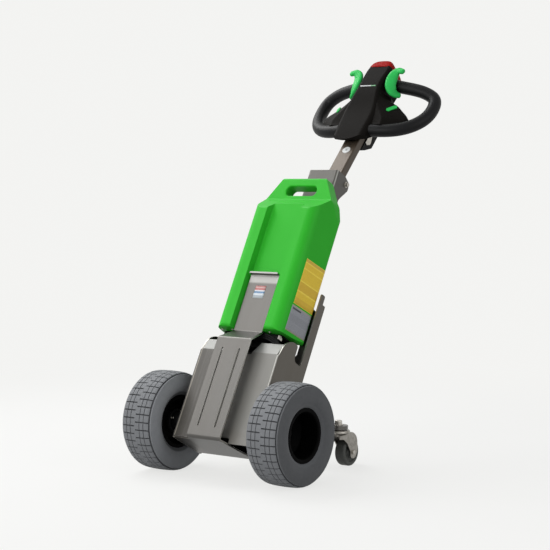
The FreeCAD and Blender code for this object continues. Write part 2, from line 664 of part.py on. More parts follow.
def head_tower():
    """Upright body of the head: apron over the tube, swollen waist, straight upper part."""
    rear = HEAD_REAR_N
    sections = [section(56, -41, rear, 17, HEAD_FOOT_S - 6),
                section(57, -44, rear, 17, 176),
                section(58, -46, rear, 16, 212),
                section(58.5, -47.5, rear, 15, 246),
                section(55, -51, rear + 1, 13, 282),
                section(48.5, -57, rear + 2, 12, 316),
                section(42.5, -61.5, rear + 2, 11, 346),
                section(40.5, -63, rear + 2, 11, 385),
                section(40.5, -59, rear + 2, 11, HEAD_TOP_S)]
    tower = Part.makeLoft(sections, True, False)
    low, far = HEAD_FOOT_S - 2, HEAD_REAR_N + 10
    under = slab_x([(-80, low), (-42, low), (-36, low + 3, 8), (rear, HEAD_UNDER_S, 12),
                    (far, HEAD_UNDER_S + 4), (far, low - 20), (-80, low - 20)], -90, 90)
    lip = slab_y([(-90, low - 20), (90, low - 20), (90, HEAD_FOOT_S + 32),
                  (56, HEAD_FOOT_S + 22, 14), (0, HEAD_FOOT_S - 3, 60),
                  (-56, HEAD_FOOT_S + 22, 14), (-90, HEAD_FOOT_S + 32)], -80, far)
    return tower.cut(under).cut(lip)


def wing_section(level, front_hw, front, tip_x, tip_n, tip_rear):
    """Section across both wings: flat front, slanted flanks, blunt tips, flat rear."""
    rear = HEAD_REAR_N - 1
    half = [(front_hw, front, 9), (tip_x, tip_n, 9), (tip_x, tip_rear, 7),
            (tip_x * 0.62, rear, 9)]
    return outline([(-x, n, r) for x, n, r in half] + half[::-1], on_z(level))


def head_wings():
    """Shoulders that flare from the waist and come down on the near side of the loop."""
    sections = [wing_section(WING_FOOT_S, 90, -35, 122, -9, 8),
                wing_section(238, 88, -37, 138, -7, 12),
                wing_section(252, 81, -39.5, 148, -6, 18),
                wing_section(265, 72, -42, 151, -6, 22),
                wing_section(278, 63, -44.5, 145, -7, 24),
                wing_section(291, 55, -47, 131, -8, 26),
                wing_section(306, 47, -50, 114, -9, 28),
                wing_section(322, 41, -53, 93, -10, 30),
                wing_section(337, 36, -55, 68, -11, 31),
                wing_section(352, 32, -56, 39, -12, 32)]
    wings = Part.makeLoft(sections, True, False)
    low, far = WING_FOOT_S - 10, HEAD_REAR_N + 10
    under = slab_x([(-20, low), (-20, WING_FOOT_S), (HEAD_REAR_N, WING_UNDER_S),
                    (far, WING_UNDER_S), (far, low)], -200, 200)
    return wings.cut(under)


def head_core():
    return head_tower().fuse(head_wings())


def head_housing(core):
    """The core with a pocket for the tube's end."""
    pocket = rounded_bar(TUBE_W / 2 + SEAT_PLAY, -TUBE_D / 2 - SEAT_PLAY, TUBE_D / 2 + SEAT_PLAY,
                         TUBE_R, HEAD_FOOT_S - 2, TUBE_TOP_S + SEAT_PLAY)
    return core.cut(pocket)


def red_button():
    """Crowned stop pad on the head, highest near its front edge."""
    rear = HEAD_REAR_N - 4
    s = HEAD_TOP_S
    side = [(-58, s), (-56, s + 16, 12), (-44, s + CAP_H, 14), (4, s + CAP_H - 7, 30),
            (rear, s + 8, 9), (rear, s)]
    front = both_halves([(CAP_HW, s), (CAP_HW, s + 10, 8), (CAP_HW - 17, s + CAP_H, 26)])
    return slab_x(side, -CAP_HW, CAP_HW).common(slab_y(front, -60, rear))


def paddle_section(turn, reach, level, corner):
    """Rounded bar across the tiller that turns about the paddle's inner front edge."""
    cos, sin = math.cos(math.radians(turn)), math.sin(math.radians(turn))
    corners = [(0, 0), (reach, 0), (reach, PADDLE_T), (0, PADDLE_T)]
    return outline([(PADDLE_X + a * cos - b * sin, PADDLE_N + a * sin + b * cos, corner)
                    for a, b in corners], on_z(level))


def paddle():
    """Thumb paddle: foot curled under the loop, turned blade, ear that twists outwards."""
    width, turn, t, low = PADDLE_W, PADDLE_TURN, PADDLE_T, PADDLE_FOOT_S
    join = low + 32
    foot = slab_x([(0, low, 26), (44, low - 1, 5), (44, low + t, 5), (t, low + t, 15),
                   (t, join), (0, join)], 0, width)
    foot.rotate(ORIGIN, Z_AXIS, turn)
    foot.translate(vec(PADDLE_X, PADDLE_N, 0))
    sections = [paddle_section(turn, width, join - 2, 0.5),
                paddle_section(turn * 0.96, width + 0.5, join + 11, 3),
                paddle_section(turn * 0.7, width + 4, join + 23, 5),
                paddle_section(turn * 0.25, PADDLE_REACH - 4, join + 34, 5.5),
                paddle_section(0, PADDLE_REACH, join + 43, 5.5),
                paddle_section(0, PADDLE_REACH - 8, join + 54, 5.5)]
    return foot.fuse(Part.makeLoft(sections, True, False))


def horn_button():
    """Oval push button, lying along the flank of a wing."""
    end = HORN_HW * NEARLY
    shape = slab_y([(-HORN_HL, -HORN_HW, end), (HORN_HL, -HORN_HW, end),
                    (HORN_HL, HORN_HW, end), (-HORN_HL, HORN_HW, end)], -HORN_H, HORN_H)
    shape.rotate(ORIGIN, Y_AXIS, -HORN_SLOPE)
    shape.rotate(ORIGIN, X_AXIS, -FLANK_LEAN)
    shape.rotate(ORIGIN, Z_AXIS, FLANK_TURN)
    shape.translate(vec(HORN_X, HORN_N, HORN_S))
    return shape


def tiller_group():
    keep("mast", column(mast()))
    keep("hinge_pin", column(rod_x(PIN_R, -MAST_HW - PIN_OUT, MAST_HW + PIN_OUT,
                                   HINGE_V, HINGE_U)))
    keep("tiller_tube", tiller(tiller_tube()))
    core = head_core()
    ring = handle_ring()
    keep("head_housing", tiller(head_housing(core)))
    bay = box(-LOOP_BAY_HW, LOOP_BAY_HW, -60, 60, HEAD_FOOT_S - 10, LOOP_S - 60)
    keep("handle_loop", tiller(ring.cut(core).cut(red_button()).cut(bay)))
    near = TUBE_D / 2 + SEAT_PLAY
    block = slab_x([(near, SOCKET_S, 3), (near + 12, SOCKET_S, 8), (SOCKET_N, SOCKET_S + 34, 8),
                    (SOCKET_N, SOCKET_TOP_S, 6), (near, SOCKET_TOP_S)],
                   -SOCKET_HALF_W, SOCKET_HALF_W)
    keep("head_socket", tiller(block.cut(core).cut(ring)))
    keep("red_button", tiller(red_button()))
    for name, shape in (("paddle", paddle()), ("horn_button", horn_button())):
        both_sides(name, shape.cut(core).cut(ring), tiller)


# ---- casters --------------------------------------------------------------------------
def caster_fork():
    """Pressed fork: crown over the wheel, two legs that sweep back to the axle."""
    trail, top = CASTER_TRAIL, FORK_TOP_Z
    axle_z = CASTER_D / 2
    leg = [(-24, top), (trail + 2, top, 10), (trail + 21, axle_z + 42, 30),
           (trail + 24, axle_z + 4, 16), (trail + 10, axle_z - 19, 14), (trail - 12, axle_z - 16, 10),
           (trail - 12, axle_z + 3, 14), (trail - 28, axle_z + 28, 20), (-4, top - 16, 8),
           (-24, top - 14)]
    bridge = slab_y([(-FORK_HW, 0), (FORK_HW, 0), (FORK_HW, top, BEND + FORK_T),
                     (-FORK_HW, top, BEND + FORK_T)], -60, trail + 60)
    inner_hw = FORK_HW - FORK_T
    hollow = slab_y([(-inner_hw, -1), (inner_hw, -1), (inner_hw, top - FORK_T, BEND),
                     (-inner_hw, top - FORK_T, BEND)], -60, trail + 60)
    body = slab_x(leg, -FORK_HW, FORK_HW).common(bridge).cut(hollow)
    body = body.cut(rod_x(CASTER_AXLE_R, -FORK_HW - 1, FORK_HW + 1, trail, axle_z))
    race = revolve_z([(0, top), (22, top), (22, RACE_Z), (RACE_R, RACE_Z, 2),
                      (RACE_R - 2, RACE_Z + RACE_H, 4), (0, RACE_Z + RACE_H)])
    return body.fuse(race).cut(rod_z(KINGPIN_R + PIN_PLAY, 60, BEAM_TOP_Z + 20))


def caster_wheel():
    """Moulded wheel with a rounded tread and recessed sides."""
    half, radius = CASTER_W / 2, CASTER_D / 2
    side = [(half, CASTER_AXLE_R + PIN_PLAY), (half, 10, 2), (half - 6, 14, 3), (half - 6, 26, 3),
            (half, 30, 3), (half, radius, CASTER_SHOULDER)]
    shape = revolve_x([(-x, *rest) for x, *rest in side] + side[::-1])
    shape.translate(vec(0, CASTER_TRAIL, radius))
    return shape


def caster(name, side):
    """One caster, built about its swivel axis and moved to its place."""
    def place(shape):
        placed = shape.copy()
        placed.translate(vec(side * CASTER_X, CASTER_Y, 0))
        return placed

    keep(f"caster_wheel_{name}", place(caster_wheel()))
    axle = rod_x(CASTER_AXLE_R, -FORK_HW - 4, FORK_HW + 4, CASTER_TRAIL, CASTER_D / 2)
    keep(f"caster_axle_{name}", place(axle))
    keep(f"caster_fork_{name}", place(caster_fork()))
    pin = rod_z(KINGPIN_R, FORK_TOP_Z - FORK_T - 6, BEAM_TOP_Z + 1)
    washer = rod_z(KINGPIN_R + 8, RACE_Z + RACE_H + 0.3, BEAM_Z)
    head = revolve_z([(0, BEAM_TOP_Z), (KINGPIN_HEAD_R + 3, BEAM_TOP_Z, 1),
                      (KINGPIN_HEAD_R + 3, BEAM_TOP_Z + 2.5, 1), (KINGPIN_HEAD_R, BEAM_TOP_Z + 2.5),
                      (KINGPIN_HEAD_R, BEAM_TOP_Z + 2.5 + KINGPIN_HEAD_H, 3),
                      (0, BEAM_TOP_Z + 2.5 + KINGPIN_HEAD_H)])
    keep(f"kingpin_{name}", place(pin.fuse(head).fuse(washer)))


def caster_frame():
    """Round-ended bar across both casters, held by an arm from each side plate."""
    end = CASTER_X + BEAM_HD
    low_y, high_y = CASTER_Y - BEAM_HD, CASTER_Y + BEAM_HD
    corner = BEAM_HD * NEARLY
    beam = slab_z([(-end, low_y, corner), (end, low_y, corner), (end, high_y, corner),
                   (-end, high_y, corner)], BEAM_Z, BEAM_TOP_Z)
    for x in (-CASTER_X, CASTER_X):
        beam = beam.cut(rod_z(KINGPIN_R, BEAM_Z - 1, BEAM_TOP_Z + 1, x, CASTER_Y))
    keep("caster_beam", beam)
    rear_y = CASTER_Y - 6
    arm = slab_x([(ARM_ROOT_Y, BEAM_TOP_Z, 8), (rear_y, BEAM_TOP_Z), (rear_y, BEAM_TOP_Z + ARM_H, 8),
                  (ARM_ROOT_Y + 90, BEAM_TOP_Z + ARM_ROOT_H, 60),
                  (ARM_ROOT_Y, BEAM_TOP_Z + ARM_ROOT_H, 14)], PLATE_OUT, PLATE_OUT + ARM_T)
    tube_clear = rod_x(SHAFT_R + TUBE_WALL + 2, PLATE_OUT - 1, PLATE_OUT + ARM_T + 1, 0, AXLE_Z)
    both_sides("caster_arm", arm.cut(tube_clear), lambda s: s)


def main():
    chassis()
    drive_unit()
    drive_wheels()
    battery()
    tiller_group()
    caster_frame()
    for name, side in SIDES:
        caster(name, side)
    bounds = Part.makeCompound(list(PIECES.values())).BoundBox
    shift = -(bounds.YMin + bounds.YMax) / 2
    print("overall", bounds.XLength, bounds.YLength, bounds.ZLength, "shift y", shift)
    os.makedirs("parts", exist_ok=True)
    for name, shape in PIECES.items():
        shape.translate(vec(0, shift, 0))
        shape.exportStep(f"parts/{name}.step")
        print(name, len(shape.Solids), shape.isValid(), round(shape.Volume / 1000, 1))


main()
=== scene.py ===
# %% [markdown]
# # A walk-behind electric tow tractor
#
# The tug comes from CAD as a fixed frame: every rigid piece already stands at its real
# place and size. This lesson dresses it. It sets up the studio, gives each piece a
# finish, and adds what CAD leaves out: tread, fasteners, stickers and leads.
# Load the frame before anything else, because all later places are read from it.

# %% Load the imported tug
import json
import math

import bmesh
import bpy
import numpy as np
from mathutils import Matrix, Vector

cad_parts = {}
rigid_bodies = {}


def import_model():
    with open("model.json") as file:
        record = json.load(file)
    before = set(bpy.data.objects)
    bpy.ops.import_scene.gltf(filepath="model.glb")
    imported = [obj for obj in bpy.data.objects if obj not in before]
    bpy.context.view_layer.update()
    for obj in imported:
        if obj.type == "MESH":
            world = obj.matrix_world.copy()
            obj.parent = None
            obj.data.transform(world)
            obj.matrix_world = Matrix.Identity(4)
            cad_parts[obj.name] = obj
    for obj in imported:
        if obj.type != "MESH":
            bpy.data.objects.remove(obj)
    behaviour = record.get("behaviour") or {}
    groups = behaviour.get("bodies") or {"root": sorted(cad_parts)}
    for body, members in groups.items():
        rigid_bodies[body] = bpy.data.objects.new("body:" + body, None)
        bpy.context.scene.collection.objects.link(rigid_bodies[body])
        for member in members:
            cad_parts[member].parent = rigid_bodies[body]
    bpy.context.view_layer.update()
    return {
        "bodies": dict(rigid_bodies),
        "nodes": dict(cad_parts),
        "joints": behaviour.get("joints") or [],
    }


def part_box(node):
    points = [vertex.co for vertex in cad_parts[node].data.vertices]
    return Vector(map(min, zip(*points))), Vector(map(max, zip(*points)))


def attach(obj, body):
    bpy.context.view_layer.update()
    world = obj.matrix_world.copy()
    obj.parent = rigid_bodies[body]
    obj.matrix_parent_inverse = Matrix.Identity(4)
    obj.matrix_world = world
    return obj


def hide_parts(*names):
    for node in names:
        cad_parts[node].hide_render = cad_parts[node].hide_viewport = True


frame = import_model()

bodies, nodes, joints = frame["bodies"], frame["nodes"], frame["joints"]

# %% [markdown]
# ## Two leaning frames
#
# The sheet-metal column leans back, and the tiller leans further. Fasteners and stickers
# sit square on those sheets, so they are laid out in leaning frames and turned upright
# at the end. The joints tell where the frames are: the wheels' spin axis is the column
# frame's origin, the battery's slide is its long direction, and the tiller's hinge is
# the tiller frame's origin.

# %% Column and tiller frames
MM = 0.001
SIDES = (("right", 1), ("left", -1))
at_joint = {joint["name"]: joint for joint in joints}
WHEEL = Vector(at_joint["wheel_right_spin"]["pos_m"])
AXLE = Vector((0, WHEEL.y, WHEEL.z))
HINGE = Vector(at_joint["tiller_tilt"]["pos_m"])
SLIDE = at_joint["battery_lift_off"]["axis"]
LEAN = math.atan2(SLIDE[1], SLIDE[2])
TILLER_FOLD = 15.0  # degrees that the tiller leans further than the column
TILLER_LEAN = LEAN + math.radians(TILLER_FOLD)


def leaning(points, origin, lean):
    """(x, across, along) in mm in a leaning frame, to upright places in metres.

    y = across cos + along sin and z = along cos - across sin, from the frame's origin.
    """
    x, across, along = np.moveaxis(np.asarray(points, float) * MM, -1, 0)
    sin, cos = math.sin(lean), math.cos(lean)
    return np.stack([origin.x + x, origin.y + across * cos + along * sin,
                     origin.z + along * cos - across * sin], -1)


def column(points):
    return leaning(points, AXLE, LEAN)


def tiller(points):
    return leaning(points, HINGE, TILLER_LEAN)


print("column leans", round(math.degrees(LEAN), 2), "tiller", round(math.degrees(TILLER_LEAN), 2))

# %% [markdown]
# ## Camera
#
# The tug is seen from its front right, from a little below the handle, through a long
# lens, so the near wheel is hardly larger than the far one. The place is given from the
# drive axle, so it stays right if the model is centred anew.

# %% Camera
CAMERA_FROM_AXLE = Vector((2.6874, -3.4199, 0.6814))
HEADING, PITCH = 36.44, 3.47  # degrees
LENS, SENSOR = 104.4, 36.0


def add_object(name, data):
    """An object for this data, linked into the scene."""
    made = bpy.data.objects.new(name, data)
    bpy.context.scene.collection.objects.link(made)
    return made


camera_data = bpy.data.cameras.new("camera")
camera_data.lens, camera_data.sensor_width = LENS, SENSOR
camera = add_object("camera", camera_data)
camera.location = AXLE + CAMERA_FROM_AXLE
camera.rotation_euler = (math.radians(90 - PITCH), 0, math.radians(HEADING))
bpy.context.scene.camera = camera
print("camera at", [round(v, 3) for v in camera.location])

# %% [markdown]
# ## Shader arithmetic
#
# A finish is mostly sums and products of patterns. Wrapping a socket in a small class
# lets them be written as plain expressions: `1 - mask` adds a Math node. One method
# makes every other node, from its type, its settings and its inputs.

# %% Wires
MIX_COLOUR_INPUTS, MIX_COLOUR_OUTPUT = (0, 6, 7), 2


def arithmetic(operation, swapped=False):
    """An operator that adds a Math node."""
    def method(self, other):
        values = (other, self) if swapped else (self, other)
        return self.finish.node("Math", {"operation": operation}, *values)

    return method


class Wire:
    """An output socket that takes part in arithmetic."""

    def __init__(self, finish, socket):
        self.finish, self.socket = finish, socket

    __add__ = __radd__ = arithmetic("ADD")
    __mul__ = __rmul__ = arithmetic("MULTIPLY")
    __sub__ = arithmetic("SUBTRACT")
    __rsub__ = arithmetic("SUBTRACT", swapped=True)
    __gt__ = arithmetic("GREATER_THAN")

    def out(self, name):
        return Wire(self.finish, self.socket.node.outputs[name])

    def abs(self):
        return self.finish.node("Math", {"operation": "ABSOLUTE"}, self)

    def band(self, low, high):
        """0 below low, 1 above high, a smooth step between; turned round if low > high."""
        settings = {"interpolation_type": "SMOOTHSTEP", "clamp": True}
        ends = (low, high, 0.0, 1.0) if low < high else (high, low, 1.0, 0.0)
        return self.finish.node("MapRange", settings, self, *ends)


print("wires ready")

# %% Finishes


class Finish:
    """A material with one Principled shader, whose constants are set on its sockets."""

    def __init__(self, name, **constants):
        self.material = bpy.data.materials.new(name)
        self.material.use_nodes = True
        self.tree = self.material.node_tree
        self.shader = self.tree.nodes["Principled BSDF"]
        self.output = self.tree.nodes["Material Output"]
        self.set(**constants)

    def feed(self, socket, value):
        if isinstance(value, Wire):
            self.tree.links.new(value.socket, socket)
        elif socket.type == "RGBA":
            socket.default_value = (*value, 1.0)
        else:
            socket.default_value = value

    def node(self, kind, settings, *values, **named):
        """A shader node: its settings first, then its inputs in order or by name."""
        made = self.tree.nodes.new("ShaderNode" + kind)
        for key, value in settings.items():
            if key == "stops":
                for extra in range(len(value) - 2):
                    made.color_ramp.elements.new(0.5)
                for stop, (place, shade) in zip(made.color_ramp.elements, value):
                    stop.position, stop.color = place, (*shade, 1.0)
            else:
                setattr(made, key, value)
        for socket, value in zip(made.inputs, values):
            self.feed(socket, value)
        for key, value in named.items():
            self.feed(made.inputs[key.replace("_", " ")], value)
        return Wire(self, made.outputs[0])

    def mix(self, factor, a, b):
        """Colour a where factor is 0, b where it is 1; a Mix node has sockets for each type."""
        made = self.tree.nodes.new("ShaderNodeMix")
        made.data_type = "RGBA"
        for index, value in zip(MIX_COLOUR_INPUTS, (factor, a, b)):
            self.feed(made.inputs[index], value)
        return Wire(self, made.outputs[MIX_COLOUR_OUTPUT])

    def place(self, turn=(0, 0, 0), scale=(1, 1, 1), origin=(0, 0, 0)):
        """Object coordinates, moved to an origin, turned and stretched."""
        where = self.node("TexCoord", {}).out("Object")
        moved = self.node("VectorMath", {"operation": "SUBTRACT"}, where, origin)
        turned = self.node("VectorRotate", {"rotation_type": "EULER_XYZ"}, Vector=moved,
                           Rotation=turn)
        return self.node("VectorMath", {"operation": "MULTIPLY"}, turned, scale)

    def noise(self, scale, detail=2.0, roughness=0.5, where=None):
        """Soft random field, 0 to 1, with this many cells in a metre."""
        return self.node("TexNoise", {}, Vector=where or self.place(), Scale=scale,
                         Detail=detail, Roughness=roughness)

    def bump(self, height, depth, over=None):
        """Normal for a height of 0 to 1 that stands for depth in metres."""
        extra = {"Normal": over} if over is not None else {}
        return self.node("Bump", {}, Strength=1.0, Distance=depth, Height=height, **extra)

    def set(self, **sockets):
        for socket, value in sockets.items():
            self.feed(self.shader.inputs[socket.replace("_", " ")], value)
        return self.material


def xyz(wire):
    """The three parts of a vector wire."""
    split = wire.finish.node("SeparateXYZ", {}, wire)
    return split, split.out("Y"), split.out("Z")


print("finishes ready")

# %% [markdown]
# ## Studio
#
# A pale floor and background, soft light from above left, and a wide weak fill. The
# world lights the tug at a plain level, and shows its pale colour only to the camera
# and to mirror-like rays. The floor keeps the soft shadow near the tug and turns into
# the background further out, so that no horizon shows.

# %% World
BACKGROUND = (0.90, 0.90, 0.885)
AMBIENT = (0.42, 0.43, 0.45)


def light_path_seen(finish):
    """1 for rays from the camera, from a glossy surface or through glass."""
    path = finish.node("LightPath", {})
    seen = path.out("Is Camera Ray") + path.out("Is Glossy Ray") + path.out("Is Transmission Ray")
    return seen > 0.5


class WorldFinish(Finish):
    def __init__(self, world):
        world.use_nodes = True
        self.tree = world.node_tree


bpy.context.scene.view_settings.view_transform = "Standard"
world = bpy.data.worlds.new("studio")
bpy.context.scene.world = world
sky = WorldFinish(world)
sky_colour = sky.mix(light_path_seen(sky), AMBIENT, BACKGROUND)
sky.feed(world.node_tree.nodes["Background"].inputs["Color"], sky_colour)
world.node_tree.nodes["Background"].inputs["Strength"].default_value = 1.0
print("world ready")

# %% Lamps
LAMP_TARGET = (0, -0.05, 0.5)


def softbox(name, size, power, place):
    """A square area lamp that faces the middle of the tug."""
    data = bpy.data.lights.new(name, "AREA")
    data.shape = "SQUARE"
    data.size, data.energy = size, power
    lamp = add_object(name, data)
    lamp.location = place
    away = Vector(place) - Vector(LAMP_TARGET)
    lamp.rotation_euler = away.to_track_quat("Z", "Y").to_euler()


softbox("top_left", 2.4, 92, (-2.3, 0.3, 3.2))
softbox("front_left", 2.0, 34, (-2.2, -2.0, 2.7))
softbox("front", 2.2, 90, (-0.5, -4.6, 1.9))
softbox("right", 2.0, 26, (3.6, -0.4, 1.9))
print("lamps placed")

# %% Grids


def places_on(rows, columns):
    """Two arrays of places on a rectangle, from (low, high, count) for each side."""
    return np.meshgrid(np.linspace(*rows), np.linspace(*columns), indexing="ij")


def grid_quads(rows, columns, loop_u=False, loop_v=False):
    """Faces of a grid of points, row by row, with its sides joined if asked.

    Quad (i, j) joins points (i, j), (i, j+1), (i+1, j+1) and (i+1, j).
    """
    index = np.arange(rows * columns).reshape(rows, columns)
    if loop_u:
        index = np.concatenate([index, index[:1]], 0)
    if loop_v:
        index = np.concatenate([index, index[:, :1]], 1)
    quads = np.stack([index[:-1, :-1], index[:-1, 1:], index[1:, 1:], index[1:, :-1]], -1)
    return quads.reshape(-1, 4)


def grid_mesh(name, points, material, loop_u=False, loop_v=False):
    """Object from a grid of points of shape (rows, columns, 3)."""
    quads = grid_quads(*points.shape[:2], loop_u, loop_v)
    return mesh_object(name, points.reshape(-1, 3), quads, material)


def mesh_object(name, points, faces, material):
    """Smooth object at the origin from arrays of points and of equal-sized faces."""
    faces = np.asarray(faces, np.int32)
    mesh = bpy.data.meshes.new(name)
    mesh.vertices.add(len(points))
    mesh.vertices.foreach_set("co", np.asarray(points, np.float32).ravel())
    mesh.loops.add(faces.size)
    mesh.loops.foreach_set("vertex_index", faces.ravel())
    mesh.polygons.add(len(faces))
    starts = np.arange(len(faces), dtype=np.int32) * faces.shape[1]
    mesh.polygons.foreach_set("loop_start", starts)
    mesh.update(calc_edges=True)
    mesh.polygons.foreach_set("use_smooth", np.ones(len(faces), bool))
    mesh.validate()
    mesh.materials.append(material)
    return add_object(name, mesh)


print("grids ready")

# %% Floor
FLOOR_SIZE = 40.0
FADE = (0.8, 2.4)  # distances over which the floor turns into background
BOUNCE = (0.42, 0.42, 0.42)
LIFT = 0.80  # share of the shadows that the pale glow fills
floor_finish = Finish("studio_floor", Roughness=0.9)
reach = floor_finish.node("VectorMath", {"operation": "LENGTH"}, floor_finish.place()).out("Value")
dust = floor_finish.noise(3.0, 3.0)
pale = floor_finish.mix(dust, (0.82, 0.82, 0.81), (0.86, 0.86, 0.85))
floor_finish.set(Base_Color=floor_finish.mix(light_path_seen(floor_finish), BOUNCE, pale))
glow = floor_finish.node("Emission", {}, BACKGROUND, 1.0)
blend_out = light_path_seen(floor_finish) * (reach.band(*FADE) * (1 - LIFT) + LIFT)
mixed = floor_finish.node("MixShader", {}, blend_out,
                          Wire(floor_finish, floor_finish.shader.outputs[0]), glow)
floor_finish.tree.links.new(mixed.socket, floor_finish.output.inputs["Surface"])
corners = np.array([[[-1, -1, 0], [1, -1, 0]], [[-1, 1, 0], [1, 1, 0]]]) * FLOOR_SIZE / 2
floor = grid_mesh("floor", corners, floor_finish.material)
print("floor ready")

# %% [markdown]
# ## Satin stainless sheet
#
# The chassis is cut and folded from stainless sheet: warm grey, a little cloudy where it
# was handled, with a fine grain. The grain is a noise field squeezed along the sheet's
# own long direction. Each sheet leans, so the coordinates are turned upright first.

# %% Stainless finishes
STEEL, STEEL_CLOUD = (0.132, 0.129, 0.124), (0.104, 0.096, 0.085)
# Painted highlights: cut edges, folded edges and the face near the tongue's bend are paler where
# light would catch them.
CUT_EDGE_HIGHLIGHT, FOLD_EDGE_HIGHLIGHT, BEND_HIGHLIGHT = (0.34, 0.335, 0.31), (0.90, 0.89, 0.85), (0.21, 0.208, 0.20)
GRAIN = (900, 700, 9)  # cells in a metre across x, through the sheet, along it
GRAIN_DEPTH = 0.00003
FACING = {"flat": (0.55, 0.35), "folded": (0.6, 0.85), "rim": (0.96, 0.86)}
MAST_EDGE = (0.0486, 0.0496)  # |x| over which the mast's cut edges begin
TONGUE_BEND = 418.0


def streaked(finish, lean, scale, detail=2.0, roughness=0.5):
    """Noise with this many cells in a metre along each axis of a leaning sheet."""
    return finish.noise(1.0, detail, roughness, finish.place((lean, 0, 0), scale))


def stainless(name, lean, light=STEEL, dark=STEEL_CLOUD, roughness=0.36, metallic=1.0,
              grain=GRAIN, edge=None, bend=None):
    """Brushed sheet whose grain runs up a frame that leans by this angle.

    Cut edges get a painted highlight. They are where |normal x| is small on a "flat" plate, which
    lies across x, and where it is large on a "folded" one, which looks forwards. "rim"
    is like "flat", but only on the outermost few millimetres. bend is the column height
    in mm above which the face is paler, a painted highlight where it starts to turn into its fold.
    """
    finish = Finish(name, Metallic=metallic)
    streaks = streaked(finish, lean, grain)
    wide = streaked(finish, lean, (46, 46, 3))
    cloud = finish.noise(7.0, 3.0, 0.6)
    base = finish.mix(cloud * 0.6 + wide * 0.4, dark, light)
    # Painted highlight on cut edges, picked out by the way each face looks.
    if edge:
        facing, _, _ = xyz(finish.node("NewGeometry", {}).out("Normal"))
        cut_highlight = facing.abs().band(*FACING[edge])
        if edge == "rim":
            cut_highlight = cut_highlight * xyz(finish.place())[0].abs().band(*MAST_EDGE)
        base = finish.mix(cut_highlight * 0.8, base, FOLD_EDGE_HIGHLIGHT if edge == "folded" else CUT_EDGE_HIGHLIGHT)
    # Painted highlight where the face starts to turn into its fold.
    if bend:
        _, _, above = xyz(finish.place(turn=(lean, 0, 0), origin=tuple(column([0, 0, bend]))))
        base = finish.mix(above.band(-0.004, 0.004), base, BEND_HIGHLIGHT)
    rough = streaks * 0.10 + cloud * 0.08 + (roughness - 0.09)
    return finish.set(Base_Color=base, Roughness=rough, Normal=finish.bump(streaks, GRAIN_DEPTH))


COVER_LIP, COVER_FOLD = (0.1312, 0.1322), (0.1275, 0.1285)  # |x| of its end and its last fold


def cover_finish():
    """The cover: darker and browner towards its left as painted shade, paler on the bevel, which
    looks upwards, and on its right lip and left fold as painted highlights, with paler streaks as
    painted reflections.
    """
    finish = Finish("stainless_cover", Metallic=0.08)
    x, _, _ = xyz(finish.place())
    along = streaked(finish, LEAN, GRAIN)
    wide = streaked(finish, LEAN, (42, 42, 2), roughness=0.6)
    handled = finish.noise(9.0, 3.0, 0.6)
    _, _, up = xyz(finish.node("NewGeometry", {}).out("Normal"))
    # Painted shade: the cover is darker and browner towards its left.
    base = finish.mix(x.band(-0.10, -0.02), (0.050, 0.044, 0.036), (0.182, 0.177, 0.160))
    left = x * -1.0
    # Paler streaks are painted reflections. The pale bevel, right lip and left fold are painted
    # highlights. The brown blotches are handling marks, and the dark left lip is painted shade.
    for mask, colour in (
            (wide.band(0.45, 0.75) * 0.40, (0.215, 0.210, 0.195)),
            (handled.band(0.5, 0.8) * 0.35, (0.135, 0.105, 0.080)),
            (up.band(0.62, 0.80), (0.250, 0.249, 0.232)),
            (x.band(*COVER_LIP), (0.46, 0.45, 0.41)),
            (left.band(*COVER_FOLD), (0.22, 0.20, 0.165)),
            (left.band(*COVER_LIP), (0.045, 0.042, 0.038))):
        base = finish.mix(mask, base, colour)
    return finish.set(Base_Color=base, Roughness=along * 0.10 + handled * 0.08 + 0.34,
                      Normal=finish.bump(along, GRAIN_DEPTH))


sheet = stainless("stainless_column", LEAN)
sheet_side = stainless("stainless_side", LEAN, (0.118, 0.112, 0.102), (0.090, 0.080, 0.068),
                       edge="flat")
sheet_tongue = stainless("stainless_tongue", LEAN, (0.110, 0.108, 0.104), (0.088, 0.083, 0.077),
                         edge="folded", bend=TONGUE_BEND)
sheet_mast = stainless("stainless_mast", LEAN, (0.086, 0.081, 0.071), (0.064, 0.058, 0.049),
                       metallic=0.15, edge="rim")
sheet_tiller = stainless("stainless_tiller", TILLER_LEAN, (0.076, 0.058, 0.041),
                         (0.058, 0.042, 0.028), roughness=0.42, metallic=0.4)
sheet_level = stainless("stainless_level", 0.0, grain=(900, 12, 700))
cover_sheet = cover_finish()
print("stainless ready")

# %% [markdown]
# ## Zinc-plated small parts
#
# Pins, bolts, axles and the caster forks are plated: brighter than the sheet, with the
# faint blotches of plating.

# %% Zinc


def plated(name, base, dull, roughness):
    """Bright plating that goes duller in blotches."""
    finish = Finish(name, Metallic=1.0)
    blotch = finish.noise(90.0, 4.0, 0.65)
    speck = finish.noise(900.0, 2.0)
    rough = blotch * 0.16 + speck * 0.08 + (roughness - 0.12)
    return finish.set(Base_Color=finish.mix(blotch.band(0.35, 0.75), base, dull), Roughness=rough,
                      Normal=finish.bump(speck, 0.00002))


zinc = plated("zinc", (0.50, 0.48, 0.44), (0.36, 0.34, 0.31), 0.34)
fork_zinc = plated("fork_zinc", (0.30, 0.285, 0.26), (0.20, 0.188, 0.17), 0.38)
print("zinc ready")

# %% [markdown]
# ## Moulded plastics
#
# The pack is a moulded green case with a fine leathery grain and a slow change of tone.
# The head is near-black with a coarser grain, and the grip coarser still. One function
# makes them all.

# %% Plastics


